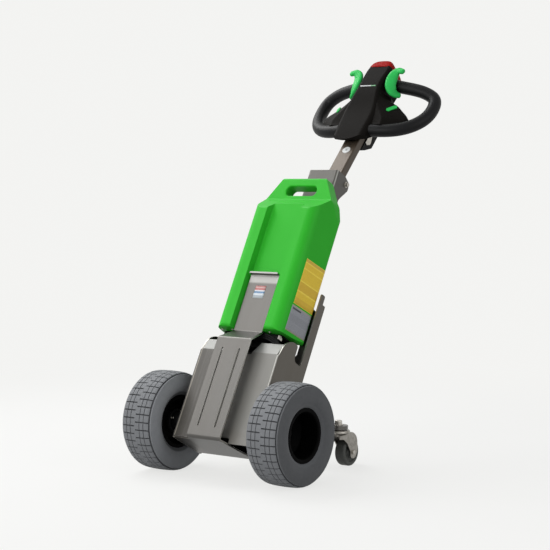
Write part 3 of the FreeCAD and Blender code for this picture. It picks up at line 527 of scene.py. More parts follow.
def moulded(name, light, dark, roughness, gloss, grain_size=0.0007, grain_depth=0.00004):
    """Grained plastic, a little smoother where long scuffs run along the column."""
    finish = Finish(name, IOR=1.46, Specular_IOR_Level=gloss)
    tone = finish.noise(9.0, 3.0, 0.55)
    cells = finish.noise(1.0 / grain_size, 3.0, 0.6)
    scuffed = streaked(finish, LEAN, (260, 90, 30), 4.0, 0.7).band(0.62, 0.80)
    base = finish.mix(tone, dark, light)
    rough = cells * 0.10 + tone * 0.06 - scuffed * 0.06 + (roughness - 0.08)
    return finish.set(Base_Color=base, Roughness=rough, Normal=finish.bump(cells, grain_depth))


green_case = moulded("green_case", (0.033, 0.440, 0.027), (0.026, 0.395, 0.021), 0.46, 0.13)
green_key = moulded("green_key", (0.032, 0.470, 0.095), (0.022, 0.400, 0.075), 0.38, 0.10)
red_cap = moulded("red_cap", (0.300, 0.010, 0.008), (0.250, 0.007, 0.006), 0.44, 0.03)
head_black = moulded("head_black", (0.0074, 0.0064, 0.0055), (0.0052, 0.0046, 0.0040),
                     0.52, 0.03, grain_size=0.0009, grain_depth=0.00006)
grip_black = moulded("grip_black", (0.0085, 0.0085, 0.0090), (0.0060, 0.0060, 0.0065),
                     0.44, 0.14, grain_size=0.0012, grain_depth=0.00008)
socket_black = moulded("socket_black", (0.013, 0.013, 0.013), (0.009, 0.009, 0.009), 0.55, 0.10)
print("plastics ready")

# %% [markdown]
# ## Rubber and powder coat
#
# The casters roll on dark rubber with open pores. The drive wheels' rims and hubs, the
# tray and the drive unit are powder coated: a soft orange peel over matt black. The
# rims are darker still, with painted shade for the inside of their deep dish. Fine
# noise gives the pores and the peel, coarse noise the dust.

# %% Rubber and coat


def rubber_noise(finish):
    """Slow clouds of dust and fine pores, on the casters and on the drive tyres."""
    return finish.noise(14.0, 4.0, 0.6), finish.noise(1600.0, 2.0)


PORE_DEPTH = 0.00005


def rubber(name, light, dark):
    """Dark rubber with pores."""
    finish = Finish(name)
    cloud, pores = rubber_noise(finish)
    base = finish.mix(cloud, dark, light)
    return finish.set(Base_Color=base, Roughness=pores * 0.12 + cloud * 0.08 + 0.52,
                      Normal=finish.bump(pores, PORE_DEPTH))


def powder_coat(name, light, dark, gloss):
    """Matt paint with an orange peel, paler where dust lies."""
    finish = Finish(name, IOR=1.5, Specular_IOR_Level=gloss)
    peel = finish.noise(700.0, 1.5)
    dust = finish.noise(30.0, 4.0, 0.65)
    base = finish.mix(dust.band(0.45, 0.85), dark, light)
    return finish.set(Base_Color=base, Roughness=dust * 0.2 + 0.45,
                      Normal=finish.bump(peel, 0.00008))


caster_rubber = rubber("caster_rubber", (0.050, 0.052, 0.046), (0.036, 0.038, 0.034))
# The rims' coat is far darker than the unit's: black paint, and painted shade for the inside of
# the deep dish.
rim_coat_and_shade = powder_coat("rim_coat_and_shade", (0.0035, 0.0035, 0.0035), (0.0015, 0.0015, 0.0015), 0.02)
unit_coat = powder_coat("unit_coat", (0.010, 0.010, 0.010), (0.005, 0.005, 0.005), 0.12)
print("rubber and coat ready")

# %% [markdown]
# ## Drive tyres
#
# The real tyre is wide and has a grey tread: two rows of bars, staggered by half a
# pitch, cut into blocks by thin grooves that run around, with a wider groove before each
# shoulder and a raised ring outside it. A bump texture would leave a smooth outline, so
# the tread is built: a grid whose rows go around the wheel and whose columns follow the
# section, pushed in wherever there is a groove.

# %% Tyre section


def smooth_through(points, count):
    """Curve through the points (Catmull-Rom), with this many steps for each span.

    On the span from p1 to p2 with neighbours p0 and p3, for t from 0 to 1:
    p1 + t (p2 - p0)/2 + t^2 (p0 - 5 p1/2 + 2 p2 - p3/2) + t^3 (3 (p1 - p2) + p3 - p0)/2.
    """
    p = np.asarray(points, float)
    p = np.concatenate([2 * p[:1] - p[1:2], p, 2 * p[-1:] - p[-2:-1]])
    t = np.linspace(0, 1, count, endpoint=False)[None, :, None]
    p0, p1, p2, p3 = (p[k:len(p) - 3 + k, None] for k in range(4))
    curve = (p1 + t * (p2 - p0) / 2 + t**2 * (p0 - 2.5 * p1 + 2 * p2 - 0.5 * p3)
             + t**3 * (3 * (p1 - p2) + p3 - p0) / 2)
    return np.concatenate([curve.reshape(-1, p.shape[1]), p[-2:-1]])


def groove(distance, half_width, wall=0.6):
    """1 on a groove's floor, 0 outside it, a straight wall between."""
    return np.clip((half_width + wall - np.abs(distance)) / wall, 0, 1)


# half section from the crown to the bead, as (from the middle plane, radius) in mm
SECTION = [(0, 140), (15, 139.8), (30, 139.1), (40, 138.0), (46.5, 135.2), (50.6, 130),
           (51.9, 125), (52.4, 120), (53.6, 112), (54.3, 102), (53.0, 92), (49.4, 83),
           (45.6, 77.2), (43.2, 74.6)]
section = smooth_through(SECTION, 12)
section_arc = np.concatenate([[0], np.cumsum(np.hypot(*np.diff(section, axis=0).T))])
print("half section is", round(section_arc[-1]), "mm long")

# %% Tread grid
BARS = 40  # bars in each row around the wheel
BAR_DEPTH = 4.2
BAR_GROOVE = 1.2  # half width of the groove between two bars
BAR_START = 2.6  # the two rows stop this far from the middle
BAR_PITCH = 2 * np.pi * SECTION[0][1] / BARS
SHOULDER, RING = 48.6, 53.2  # places along the section, in mm from the crown
SIPES, WORN_END = (16.0, 30.0), 56.0  # thin grooves, and where the worn tread ends
SHOULDER_HALF, SHOULDER_DEPTH = 1.5, 2.6
RING_HALF, RING_WALL, RING_HEIGHT = 0.5, 0.8, 0.9
SIPE_HALF, SIPE_DEPTH = 0.6, 1.7
WALL_WORN, WORN_DEPTH = 0.35, 2.2  # wear of the wall, depth at which a block's wear ends
BEAD_R, BEAD_INSET = 66.0, 1.4  # the hidden foot that closes the tyre along the rim


def tyre_heights(arc, turn, side):
    """Depth of the tread, in mm, at a place along the section and around the wheel.

    The deepest of three patterns: bars across, thin grooves around, a shoulder groove;
    the ring outside the shoulder stands out instead.
    """
    along = (turn / (2 * np.pi) * BARS + np.where(side > 0, 0.5, 0.0)) % 1.0
    bar = groove((along - np.round(along)) * BAR_PITCH, BAR_GROOVE)
    bar = bar * groove(arc - (BAR_START + SHOULDER) / 2, (SHOULDER - BAR_START) / 2, 1.0)
    thin = sum(groove(arc - place, SIPE_HALF) for place in SIPES)
    depth = np.maximum(BAR_DEPTH * bar, SIPE_DEPTH * thin)
    depth = np.maximum(depth, SHOULDER_DEPTH * groove(arc - SHOULDER, SHOULDER_HALF))
    return depth - RING_HEIGHT * groove(arc - RING, RING_HALF, RING_WALL)


def edges(place, half_width, wall=0.6):
    """Where a groove's walls begin and end, so that the grid has lines there."""
    return [place - half_width - wall, place - half_width, place + half_width,
            place + half_width + wall]


stations = [0.0, BAR_START - 1.0, BAR_START, 9.0, 23.0, 36.5, 42.0, 45.5]
stations += sum((edges(place, SIPE_HALF) for place in SIPES), [])
stations += edges(SHOULDER, SHOULDER_HALF) + edges(RING, RING_HALF, RING_WALL) + [57.0]
stations = np.array(sorted(stations) + list(np.linspace(60, section_arc[-1], 13)))
steps = np.array(edges(0, BAR_GROOVE) + [BAR_PITCH / 4] + edges(BAR_PITCH / 2, BAR_GROOVE)
                 + [3 * BAR_PITCH / 4]) / BAR_PITCH
turns = ((np.arange(BARS)[:, None] + steps[None]) / BARS).ravel() * 2 * np.pi
print(len(turns), "rows by", 2 * len(stations) - 1, "columns")

# %% Tyre surface


def tyre_points(centre):
    """Closed tyre around centre: rows around the wheel, columns across it.

    x = centre + side * section x, radius = section r, both moved inwards along the
    section's normal by the tread's depth; two more columns close it along the rim.
    The second result is how worn each place is: 1 on a block, 0 on a groove's floor.
    """
    x = np.interp(stations, section_arc, section[:, 0])
    r = np.interp(stations, section_arc, section[:, 1])
    dx, dr = np.gradient(x, stations), np.gradient(r, stations)
    length = np.hypot(dx, dr)
    normal_x, normal_r = -dr / length, dx / length
    side = np.concatenate([-np.ones(len(stations)), np.ones(len(stations) - 1)])
    both = np.concatenate([np.arange(len(stations))[::-1], np.arange(1, len(stations))])
    turn = turns[:, None]
    depth = tyre_heights(stations[both][None], turn, side[None])
    px = side * (x[both] - depth * normal_x[both])
    pr = r[both] - depth * normal_r[both]
    bead_x = np.full((len(turns), 1), x[-1] - BEAD_INSET)
    bead_r = np.full((len(turns), 1), BEAD_R)
    px = np.concatenate([px, bead_x, -bead_x], 1)
    pr = np.concatenate([pr, bead_r, bead_r], 1)
    worn = np.where(stations[both] < WORN_END, 1.0, WALL_WORN) - depth / WORN_DEPTH
    worn = np.pad(worn, ((0, 0), (0, 2)))
    points = np.stack([px, -pr * np.cos(turn), pr * np.sin(turn)], -1) * MM
    return points + np.array(centre), worn


print("tyre surface ready")

# %% Tyre rubber


def add_attribute(piece, name, values):
    """One number a vertex, which a material reads by name."""
    data = piece.data.attributes.new(name, "FLOAT", "POINT")
    data.data.foreach_set("value", np.clip(values, 0, 1).astype(np.float32).ravel())


def tyre_rubber_finish():
    """Light worn blocks and dark groove floors; mottled walls, the outer ones darkened by painted
    shade and the inner ones lightened by painted light.
    """
    finish = Finish("tyre_rubber")
    worn = finish.node("Attribute", {"attribute_name": "worn"}).out("Fac")
    cloud, pores = rubber_noise(finish)
    light = finish.mix(cloud, TREAD_DARK, TREAD_LIGHT)
    base = finish.mix(worn, finish.mix(cloud, GROOVE_DARK, GROOVE_LIGHT), light)
    x, _, _ = xyz(finish.place())
    from_middle = x.abs() - WHEEL.x
    smear = finish.noise(60.0, 4.0, 0.7)
    # Painted shade on the outer walls, and painted light on the inner walls, which lie in the
    # chassis's shade.
    outer_painted_shade, inner_painted_light = from_middle.band(*WALL_FROM), from_middle.band(*(-end for end in WALL_FROM))
    base = finish.mix(outer_painted_shade, base, finish.mix(smear, PAINTED_SHADE_WALL_DARK, PAINTED_SHADE_WALL_LIGHT))
    base = finish.mix(inner_painted_light, base, finish.mix(smear, PAINTED_LIT_INNER_DARK, PAINTED_LIT_INNER_LIGHT))
    return finish.set(Base_Color=base, Roughness=pores * 0.12 + cloud * 0.08 + 0.66,
                      Normal=finish.bump(smear, 0.0002, over=finish.bump(pores, PORE_DEPTH)))


TREAD_LIGHT, TREAD_DARK = (0.182, 0.188, 0.196), (0.140, 0.145, 0.152)
GROOVE_LIGHT, GROOVE_DARK = (0.062, 0.064, 0.068), (0.044, 0.046, 0.049)
WALL_FROM = (0.0485, 0.0515)  # distances from the tyre's middle where a wall begins
# Outer wall colours are painted shade; inner wall colours are painted light, paler than the tread.
PAINTED_SHADE_WALL_LIGHT, PAINTED_SHADE_WALL_DARK = (0.086, 0.089, 0.093), (0.060, 0.062, 0.066)
PAINTED_LIT_INNER_LIGHT, PAINTED_LIT_INNER_DARK = (0.290, 0.298, 0.310), (0.220, 0.228, 0.238)
tyre_rubber = tyre_rubber_finish()
for side, sign in SIDES:
    points, worn = tyre_points((sign * WHEEL.x, WHEEL.y, WHEEL.z))
    tyre = grid_mesh(f"tread_tyre_{side}", points, tyre_rubber, loop_u=True, loop_v=True)
    add_attribute(tyre, "worn", worn)
    tyre.data.set_sharp_from_angle(angle=math.radians(35))
    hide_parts(f"tyre_{side}")
    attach(tyre, f"wheel_{side}")
print("tyres with", BARS, "bars a row")

# %% [markdown]
# ## Labels
#
# A yellow and a silver label are stuck on the pack's right side, and a small striped one
# on the front tongue. Here they are blank, with plain stripes. An image would be the
# usual way to colour them, but a ramp over the height draws stripes without one. Each is
# a thin film: a grid laid on its sheet, given a thickness by Solidify.

# %% Film and its places
PACK_CORNER = (109.0, -53.4)  # x and v of the pack's right front corner, unrounded
PACK_FLARE = (17.5, 116.0)  # from there to the rear corner
WALL_FLAT, REAR_R = 105.7, 10.0  # where the rear corner's rounding starts
FILM = 0.00025


def pack_wall(back, up, out):
    """Column-frame point on the pack's right wall.

    back is measured from the front corner along the wall; past its flat part the point
    turns around the rear corner: flat end + R (sin a, cos a - 1) with a = (back - flat)/R.
    out is how far it stands off the wall.
    """
    length = math.hypot(*PACK_FLARE)
    dx, dv = PACK_FLARE[0] / length, PACK_FLARE[1] / length
    flat, angle = np.minimum(back, WALL_FLAT), np.clip(back - WALL_FLAT, 0, None) / REAR_R
    along = flat + REAR_R * np.sin(angle) + out * np.sin(angle)
    aside = REAR_R * (np.cos(angle) - 1) + out * np.cos(angle)
    return np.stack([PACK_CORNER[0] + along * dx + aside * dv,
                     PACK_CORNER[1] + along * dv - aside * dx, up], -1)


def film(name, points, material, body):
    """Thin closed film from a grid of points that faces outwards."""
    piece = grid_mesh(name, points, material)
    solid = piece.modifiers.new("thickness", "SOLIDIFY")
    solid.thickness, solid.offset = FILM, -1.0
    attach(piece, body)
    return piece


print("films ready")

# %% Label finishes
LABEL_SPAN = 0.25  # heights of the ramp's two ends are this far apart
LABEL_FOOT = 280.0  # column height of its lower end


def label_finish(name, stops, other, wear=0.3, roughness=0.42):
    """Blank film with level stripes: a ramp over the height up the column."""
    finish = Finish(name)
    where = finish.place(turn=(LEAN, 0, 0), origin=column([0, 0, LABEL_FOOT]))
    _, _, up = xyz(where)
    ramp = finish.node("ValToRGB", {"stops": stops}, up * (1.0 / LABEL_SPAN))
    mottle = finish.noise(420.0, 3.0, 0.6, where=where)
    faded = finish.mix(mottle.band(0.35, 0.75) * wear, ramp, other)
    return finish.set(Base_Color=faded, Roughness=mottle * 0.15 + (roughness - 0.07),
                      Normal=finish.bump(mottle, 0.00003))


def at(up):
    """Place on the ramp of a column height in mm."""
    return (up - LABEL_FOOT) * MM / LABEL_SPAN


STEP = 0.0004  # share of the ramp over which one stripe turns into the next


def steps_of(stripes):
    """Hard-edged ramp stops from (lower end in mm, colour) pairs."""
    stops = []
    for (low, colour), following in zip(stripes, stripes[1:] + [None]):
        stops.append((at(low), colour))
        if following:
            stops.append((at(following[0]) - STEP, colour))
    return stops


YELLOW, PALE_YELLOW, OCHRE = (0.80, 0.57, 0.025), (0.95, 0.74, 0.070), (0.68, 0.45, 0.020)
yellow_film = label_finish(
    "film_yellow",
    steps_of([(360, PALE_YELLOW), (371.5, OCHRE), (390, YELLOW), (407, PALE_YELLOW),
              (411, OCHRE), (437, PALE_YELLOW), (441, YELLOW), (475, PALE_YELLOW),
              (479, YELLOW), (494, PALE_YELLOW), (497, OCHRE), (505, PALE_YELLOW)]),
    other=(0.60, 0.34, 0.03), wear=0.5)
silver_film = label_finish(
    "film_silver",
    steps_of([(280, (0.42, 0.38, 0.25)), (292, (0.27, 0.275, 0.30)), (316, (0.30, 0.305, 0.335)),
              (318, (0.25, 0.255, 0.28)), (340, (0.29, 0.295, 0.325)), (362, (0.42, 0.38, 0.25))]),
    other=(0.17, 0.185, 0.19), wear=0.7, roughness=0.36)
flag_film = label_finish(
    "film_striped",
    steps_of([(370, (0.42, 0.46, 0.48)), (377, (0.18, 0.22, 0.28)), (379, (0.55, 0.60, 0.64)),
              (386, (0.05, 0.16, 0.32)), (391.5, (0.62, 0.63, 0.66)), (396, (0.40, 0.07, 0.07)),
              (402, (0.50, 0.26, 0.24)), (406, (0.40, 0.08, 0.08))]),
    other=(0.55, 0.55, 0.55))
DARK_INK = (0.04, 0.042, 0.045)
bar_film = label_finish("film_dark", [(0.0, DARK_INK), (1.0, DARK_INK)], other=(0.03, 0.03, 0.03))
print("label finishes ready")

# %% Lay the labels
LABEL_OFF, BAR_OFF = 0.35, 0.62  # mm that a film's outer face stands off its sheet
TONGUE_V = -41.4  # across, of the tongue's face
for name, material, (near, far), (low, high), out in (
        ("label_yellow", yellow_film, (28, 112), (369.5, 507), LABEL_OFF),
        ("label_silver", silver_film, (26, 110), (289, 365.5), LABEL_OFF),
        ("label_silver_bar", bar_film, (31, 66), (354, 359), BAR_OFF)):
    up, back = places_on((low, high, 12), (near, far, 30))
    film(name, column(pack_wall(back, up, out)), material, "battery")
up, across = places_on((371, 409, 6), (-20, 16, 8))
flat = column(np.stack([across, 0 * up + TONGUE_V - LABEL_OFF, up], -1))
film("label_striped", flat, flag_film, "chassis")
print("labels placed")

# %% [markdown]
# ## Thumb paddles
#
# Each paddle is a thick moulded band that rises from a curled foot and ends in an ear,
# turned outwards for the thumb. It is a section carried along a path: the path a smooth
# curve through a few places, the section a rounded rectangle whose half width and half
# thickness change on the way, and both ends domed.

# %% Band along a path


def rounded_section(count, power=2.6):
    """Superellipse of half size 1: (sign cos |cos a|^(2/p), the same with sin)."""
    angle = np.linspace(0, 2 * np.pi, count, endpoint=False)
    cos, sin = np.cos(angle), np.sin(angle)
    return (np.sign(cos) * np.abs(cos)**(2 / power), np.sign(sin) * np.abs(sin)**(2 / power))


def band(path, facing, steps=10, around=28, dome=6):
    """Grid of a band: rows along the path, columns around it.

    path rows are (x, across, along, half width, half thickness). With tangent T and
    the direction it faces F, the width runs along T x F and the thickness along
    (T x F) x T.  At each end, rings at angle a shrink by cos a and move out by sin a.
    """
    curve = smooth_through(path, steps)
    place, width, thick = curve[:, :3], curve[:, 3], curve[:, 4]
    tangent = np.gradient(place, axis=0)
    tangent /= np.linalg.norm(tangent, axis=1)[:, None]
    angle = np.linspace(0, np.pi / 2, dome + 1)[1:]
    place = np.concatenate(
        [place[:1] - tangent[:1] * (thick[0] * np.sin(angle[::-1]))[:, None], place,
         place[-1:] + tangent[-1:] * (thick[-1] * np.sin(angle))[:, None]])
    shrink = np.concatenate([np.cos(angle[::-1]), np.ones(len(curve)), np.cos(angle)])
    pad = (dome, dome)
    width = np.pad(width, pad, "edge") * shrink
    thick = np.pad(thick, pad, "edge") * shrink
    tangent = np.pad(tangent, (pad, (0, 0)), "edge")
    across = np.cross(tangent, np.asarray(facing, float))
    across /= np.linalg.norm(across, axis=1)[:, None]
    out = np.cross(across, tangent)
    cos, sin = rounded_section(around)
    return (place[:, None] + across[:, None] * (width[:, None] * cos)[..., None]
            + out[:, None] * (thick[:, None] * sin)[..., None])


SAME_PLACE = 2e-5  # points closer than this, in metres, become one


def close_poles(piece):
    """Merge the rings that have shrunk to a point, and make every face point outwards."""
    mesh = bmesh.new()
    mesh.from_mesh(piece.data)
    bmesh.ops.remove_doubles(mesh, verts=mesh.verts, dist=SAME_PLACE)
    bmesh.ops.dissolve_degenerate(mesh, edges=mesh.edges, dist=SAME_PLACE / 4)
    bmesh.ops.recalc_face_normals(mesh, faces=mesh.faces)
    mesh.to_mesh(piece.data)
    mesh.free()
    return piece


print("bands ready")

# %% Paddles
# (x, across, along, half width, half thickness) from the foot to the ear, in mm
PADDLE_PATH = [(86, -13, 361, 9, 6), (78, -22, 358, 12.5, 7), (70, -34, 361, 15, 8),
               (63, -44, 376, 17, 8.5), (61.5, -49, 398, 17, 8.5), (66, -53, 414, 15, 8),
               (78, -56, 424, 11.5, 7), (93, -56, 421, 9, 6.5)]
PADDLE_FACING = (0.35, -0.94, 0.0)
for side, sign in SIDES:
    grid = band(PADDLE_PATH, PADDLE_FACING) * np.array([sign, 1, 1])
    paddle = close_poles(grid_mesh(f"thumb_paddle_{side}", tiller(grid), green_key, loop_v=True))
    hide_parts(f"paddle_{side}")
    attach(paddle, "tiller")
print("paddles placed")

# %% [markdown]
# ## Stop pad
#
# The red pad on top of the head is a soft cushion shape that bulges up from the head's
# outline. A superellipsoid gives it in one formula: nearly square seen from above, and
# domed from the front.

# %% Cushion shape
CUSHION_SKIRT = 3.0


def cushion(centre, half, powers, rows=40, columns=64):
    """Upper half of |x/a|^p + |n/b|^q + |s/c|^r = 1 with a short skirt, as a grid.

    Columns go around at angle t, rows from the top to the rim. A row's share of the way,
    sin of an even angle, is taken along (cos t, sin t) out to the outline f = 1, with
    f = |x/a|^p + |n/b|^q; halving an interval finds how far that is. The height is
    c (1 - f)^(1/r). q has a smaller value behind (n >= 0), where the pad is rounder.
    """
    turn = np.linspace(0, 2 * np.pi, columns, endpoint=False)[None]
    share = np.sin(np.linspace(0, np.pi / 2, rows))[:, None]
    cos, sin = np.cos(turn), np.sin(turn)
    power_x, power_front, power_back, power_up = powers

    def fill(x, n):
        return np.abs(x)**power_x + np.abs(n)**np.where(n < 0, power_front, power_back)

    low, high = np.zeros_like(turn), np.full_like(turn, 2.0)
    for _ in range(30):
        middle = (low + high) / 2
        inside = fill(middle * cos, middle * sin) < 1
        low, high = np.where(inside, middle, low), np.where(inside, high, middle)
    x, n = share * low * cos, share * low * sin
    rest = np.clip(1 - fill(x, n), 0, 1)
    grid = np.stack([x * half[0], n * half[1], half[2] * rest**(1 / power_up)], -1)
    rim = grid[-1:] - np.array([0, 0, CUSHION_SKIRT])
    foot = rim * np.array([0, 0, 1.0])
    return np.concatenate([grid, rim, foot]) + np.array(centre, float)


STOP_FOOT, STOP_HALF = (0, -9, 447.5), (41.8, 51.3, 30)
STOP_POWERS = (3.2, 14.0, 3.0, 2.0)  # across, in front, behind and upwards
stop = cushion(STOP_FOOT, STOP_HALF, STOP_POWERS)
stop_pad = close_poles(grid_mesh("stop_pad", tiller(stop), red_cap, loop_v=True))
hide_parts("red_button")
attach(stop_pad, "tiller")
print("stop pad placed")

# %% [markdown]
# ## Small parts on the tiller
#
# A round pale sticker with one grey dot lies on the tube's face, and a bright cheek
# plate stands on each side of the black block behind the tube. A disc made as a fan
# would pinch at its middle, so it is a square grid rounded off. A cheek is an outline
# pulled out across x.

# %% Sticker
TUBE_FACE = -13.5
STICKER = (0.0, 131.0)
STICKER_R = 13.0


def disc(centre, radius, count=20):
    """Flat disc as a square grid: x = u sqrt(1 - v^2/2), y = v sqrt(1 - u^2/2)."""
    v, u = places_on((-1, 1, count), (-1, 1, count))
    x, y = u * np.sqrt(1 - v**2 / 2), v * np.sqrt(1 - u**2 / 2)
    return np.stack([centre[0] + radius * x, centre[1] + 0 * x, centre[2] + radius * y], -1)


paper = Finish("paper_white", Roughness=0.5)
reach = paper.node("VectorMath", {"operation": "DISTANCE"}, paper.place(),
                   tuple(tiller([STICKER[0], TUBE_FACE, STICKER[1]]))).out("Value")
ink = reach.band(0.0045, 0.0030) * 0.75
fibre = paper.noise(600.0, 3.0)
paper.set(Base_Color=paper.mix(ink, paper.mix(fibre, (0.50, 0.51, 0.50), (0.60, 0.61, 0.60)),
                               (0.14, 0.15, 0.16)),
          Normal=paper.bump(fibre, 0.00002))
film("round_sticker", tiller(disc((STICKER[0], TUBE_FACE - LABEL_OFF, STICKER[1]), STICKER_R)),
     paper.material, "tiller")
print("sticker placed")

# %% Cheeks
PLATE_BEVEL = 0.0008


def plate(name, outline, x_low, x_high, to_frame, material, body):
    """Flat plate across x: an outline of (across, along) corners, closed and rounded."""
    count = len(outline)
    ring = np.array(outline, float)
    points = np.concatenate([np.column_stack([np.full(count, x), ring]) for x in (x_low, x_high)])
    mesh = bpy.data.meshes.new(name)
    index = np.arange(count)
    side = np.stack([index, (index + 1) % count, (index + 1) % count + count, index + count], -1)
    faces = [list(range(count - 1, -1, -1)), list(range(count, 2 * count))] + side.tolist()
    mesh.from_pydata(to_frame(points).tolist(), [], faces)
    mesh.materials.append(material)
    piece = close_poles(add_object(name, mesh))
    edge = piece.modifiers.new("edge", "BEVEL")
    edge.width, edge.segments, edge.limit_method = PLATE_BEVEL, 2, "ANGLE"
    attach(piece, body)


CHEEK = [(13.5, 238), (26, 232), (36, 209), (36, 200), (25, 188), (13.5, 190)]
CHEEK_X = (28.2, 30.2)
for side, sign in SIDES:
    plate(f"socket_cheek_{side}", CHEEK, sign * CHEEK_X[0], sign * CHEEK_X[1], tiller, zinc,
          "tiller")
print("cheeks placed")

# %% [markdown]
# ## Fasteners
#
# The hinge pin ends in a low collar on each of the mast's ears. Each drive wheel has
# four nuts inside its rim and four studs on its hub's inner side, and each caster's axle
# a nut at both ends. A nut is a turned profile whose radius follows the hexagon, so one
# lathe function makes them all; nuts on the same body are joined into one piece.

# %% Lathe


def turned(profile, around=24, sides=0):
    """Grid of a turned shape about the x axis: rows around, columns along the profile.

    profile rows are (x, radius), or (x, radius, flag) with sides: where its flag is 1,
    a radius is divided by the cosine of the angle from the nearest flat's middle.
    """
    profile = np.asarray(profile, float)
    turn = np.linspace(0, 2 * np.pi, around, endpoint=False)[:, None]
    x, radius = profile[None, :, 0], profile[None, :, 1]
    if sides:
        step = 2 * np.pi / sides
        off = (turn + step / 2) % step - step / 2
        radius = radius * np.where(profile[None, :, 2] > 0, 1 / np.cos(off), 1.0)
    return np.stack([x + 0 * turn, radius * np.cos(turn), radius * np.sin(turn)], -1)


def finish_turned(piece, body):
    """Close the ends, keep hard edges sharp and tie the piece to its body."""
    close_poles(piece)
    piece.data.set_sharp_from_angle(angle=math.radians(30))
    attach(piece, body)


def fasteners(name, shape, places, material, body):
    """Copies of one turned shape at upright places in metres, joined into one piece.

    A place is (x, y, z, direction): 1 points along +x, and -1, a half turn about y, along -x.
    """
    places = np.asarray(places, float)
    half_turn = np.stack([places[:, 3], np.ones(len(places)), places[:, 3]], -1)
    copies = shape[None] * MM * half_turn[:, None, None] + places[:, None, None, :3]
    count, rows, columns = copies.shape[:3]
    quads = grid_quads(rows, columns, loop_u=True)[None]
    quads = quads + (np.arange(count) * rows * columns)[:, None, None]
    piece = mesh_object(name, copies.reshape(-1, 3), quads.reshape(-1, 4), material)
    finish_turned(piece, body)


def nut(flat, height, washer=1.3):
    """Hexagon nut on a washer: flat is half its width over the flats."""
    rim, top = flat * 1.28, washer + height
    return [(0, 0, 0), (0, rim, 0), (washer, rim, 0), (washer, flat, 1),
            (washer + height * 0.82, flat, 1), (top, flat * 0.88, 0), (top, 0, 0)]


print("lathe ready")

# %% Collars and nuts
EAR_FACE = 52.4  # |x| of the mast's ears
COLLAR = [(0, 0), (0, 9.0), (1.2, 9.0), (1.2, 7.6), (2.6, 7.2), (2.6, 0)]
NUT_FACE, NUT_CIRCLE = 26.0, 27.0  # inwards from the tyre's middle, and the circle's radius
AXLE_STUB = 4.0 * MM  # a caster axle stands this far out of its fork
quarter = np.radians([45, 135, 225, 315])


def around_axle(sign, face, radius, angles, direction):
    """Places on a circle around a drive wheel's axle."""
    return [(sign * (WHEEL.x - face * MM), WHEEL.y + radius * MM * math.cos(a),
             WHEEL.z + radius * MM * math.sin(a), direction) for a in angles]


fasteners("hinge_collars", turned(COLLAR),
          [(sign * EAR_FACE * MM, HINGE.y, HINGE.z, sign) for sign in (1, -1)], zinc, "chassis")
for side, sign in SIDES:
    fasteners(f"wheel_nuts_{side}", turned(nut(6.5, 6.0), sides=6),
              around_axle(sign, NUT_FACE, NUT_CIRCLE, quarter, sign), unit_coat,
              f"wheel_{side}")
    low, high = (np.array(corner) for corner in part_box(f"caster_axle_{side}"))
    _, y, z = (low + high) / 2
    fasteners(f"caster_nuts_{side}", turned(nut(5.4, 3.6), sides=6),
              [(high[0] - AXLE_STUB, y, z, 1), (low[0] + AXLE_STUB, y, z, -1)],
              zinc, f"caster_{side}")
print("collars and nuts placed")

# %% Screws, plug and studs
PACK_BOTTOM = 277.0
SCREW = [(-2.0, 0), (-2.0, 4.2), (0.8, 4.2), (1.8, 3.4), (1.8, 1.9), (0.6, 1.7), (0.6, 0)]
SCREW_SPOTS = ((65.2, -27.2), (-65.2, -27.2), (-102.0, -25.1))  # x and v on the pack's foot
PLUG = [(-2.0, 0), (-2.0, 5.4), (0.3, 5.4), (0.5, 4.9), (0.3, 4.4), (-0.9, 3.9), (-1.2, 0)]
PLUG_S = 151.5
STUD = [(0, 0), (0, 3.4), (1.0, 3.4), (1.0, 2.4), (6.5, 2.4), (7.5, 1.4), (7.5, 0)]
STUD_FACE, STUD_CIRCLE, STUD_TURN = 38.0, 29.0, 0.32


def turned_towards(profile, place, to_frame, axis, material, name, body):
    """One turned part at a frame place; axis gives the profile's direction there."""
    grid = turned(profile)
    other = {"across": (1, 0, 2), "along": (1, 2, 0)}[axis]
    points = -grid[..., other] + np.array(place, float)
    piece = grid_mesh(name, to_frame(points), material, loop_u=True)
    finish_turned(piece, body)


# The tube has a dark hole here. A black plug with a shallow recess stands in for it, and its black
# is painted shade.
turned_towards(PLUG, (0, TUBE_FACE, PLUG_S), tiller, "across", unit_coat, "tube_hole_shade_plug",
               "tiller")
for number, (x, v) in enumerate(SCREW_SPOTS, 1):
    turned_towards(SCREW, (x, v, PACK_BOTTOM), column, "along", zinc, f"pack_screw_{number}",
                   "battery")
for side, sign in SIDES:
    fasteners(f"hub_studs_{side}", turned(STUD, around=16),
              around_axle(sign, STUD_FACE, STUD_CIRCLE, quarter + STUD_TURN, -sign), zinc,
              f"wheel_{side}")
print("screws, plug and studs placed")

# %% [markdown]
# ## Wiring below the pack
#
# Three short black leads come out of the socket's side, sag, and go down behind the
# cover. Both ends are fixed, so they belong to the chassis. Each is a round section
# carried along a smooth path, with the fine ribs of corrugated sleeve. Two small plates
# stand near them: a clip on the tray, and a closing sheet low on the left.

# %% Leads
LEAD_R, LEAD_DROP = 2.8, 5.8  # radius, and how much lower the next lead leaves
RIB_PITCH, RIB_SHARE = 2.6, 0.07
LEAD_FACING = (0, -1, 0.3)


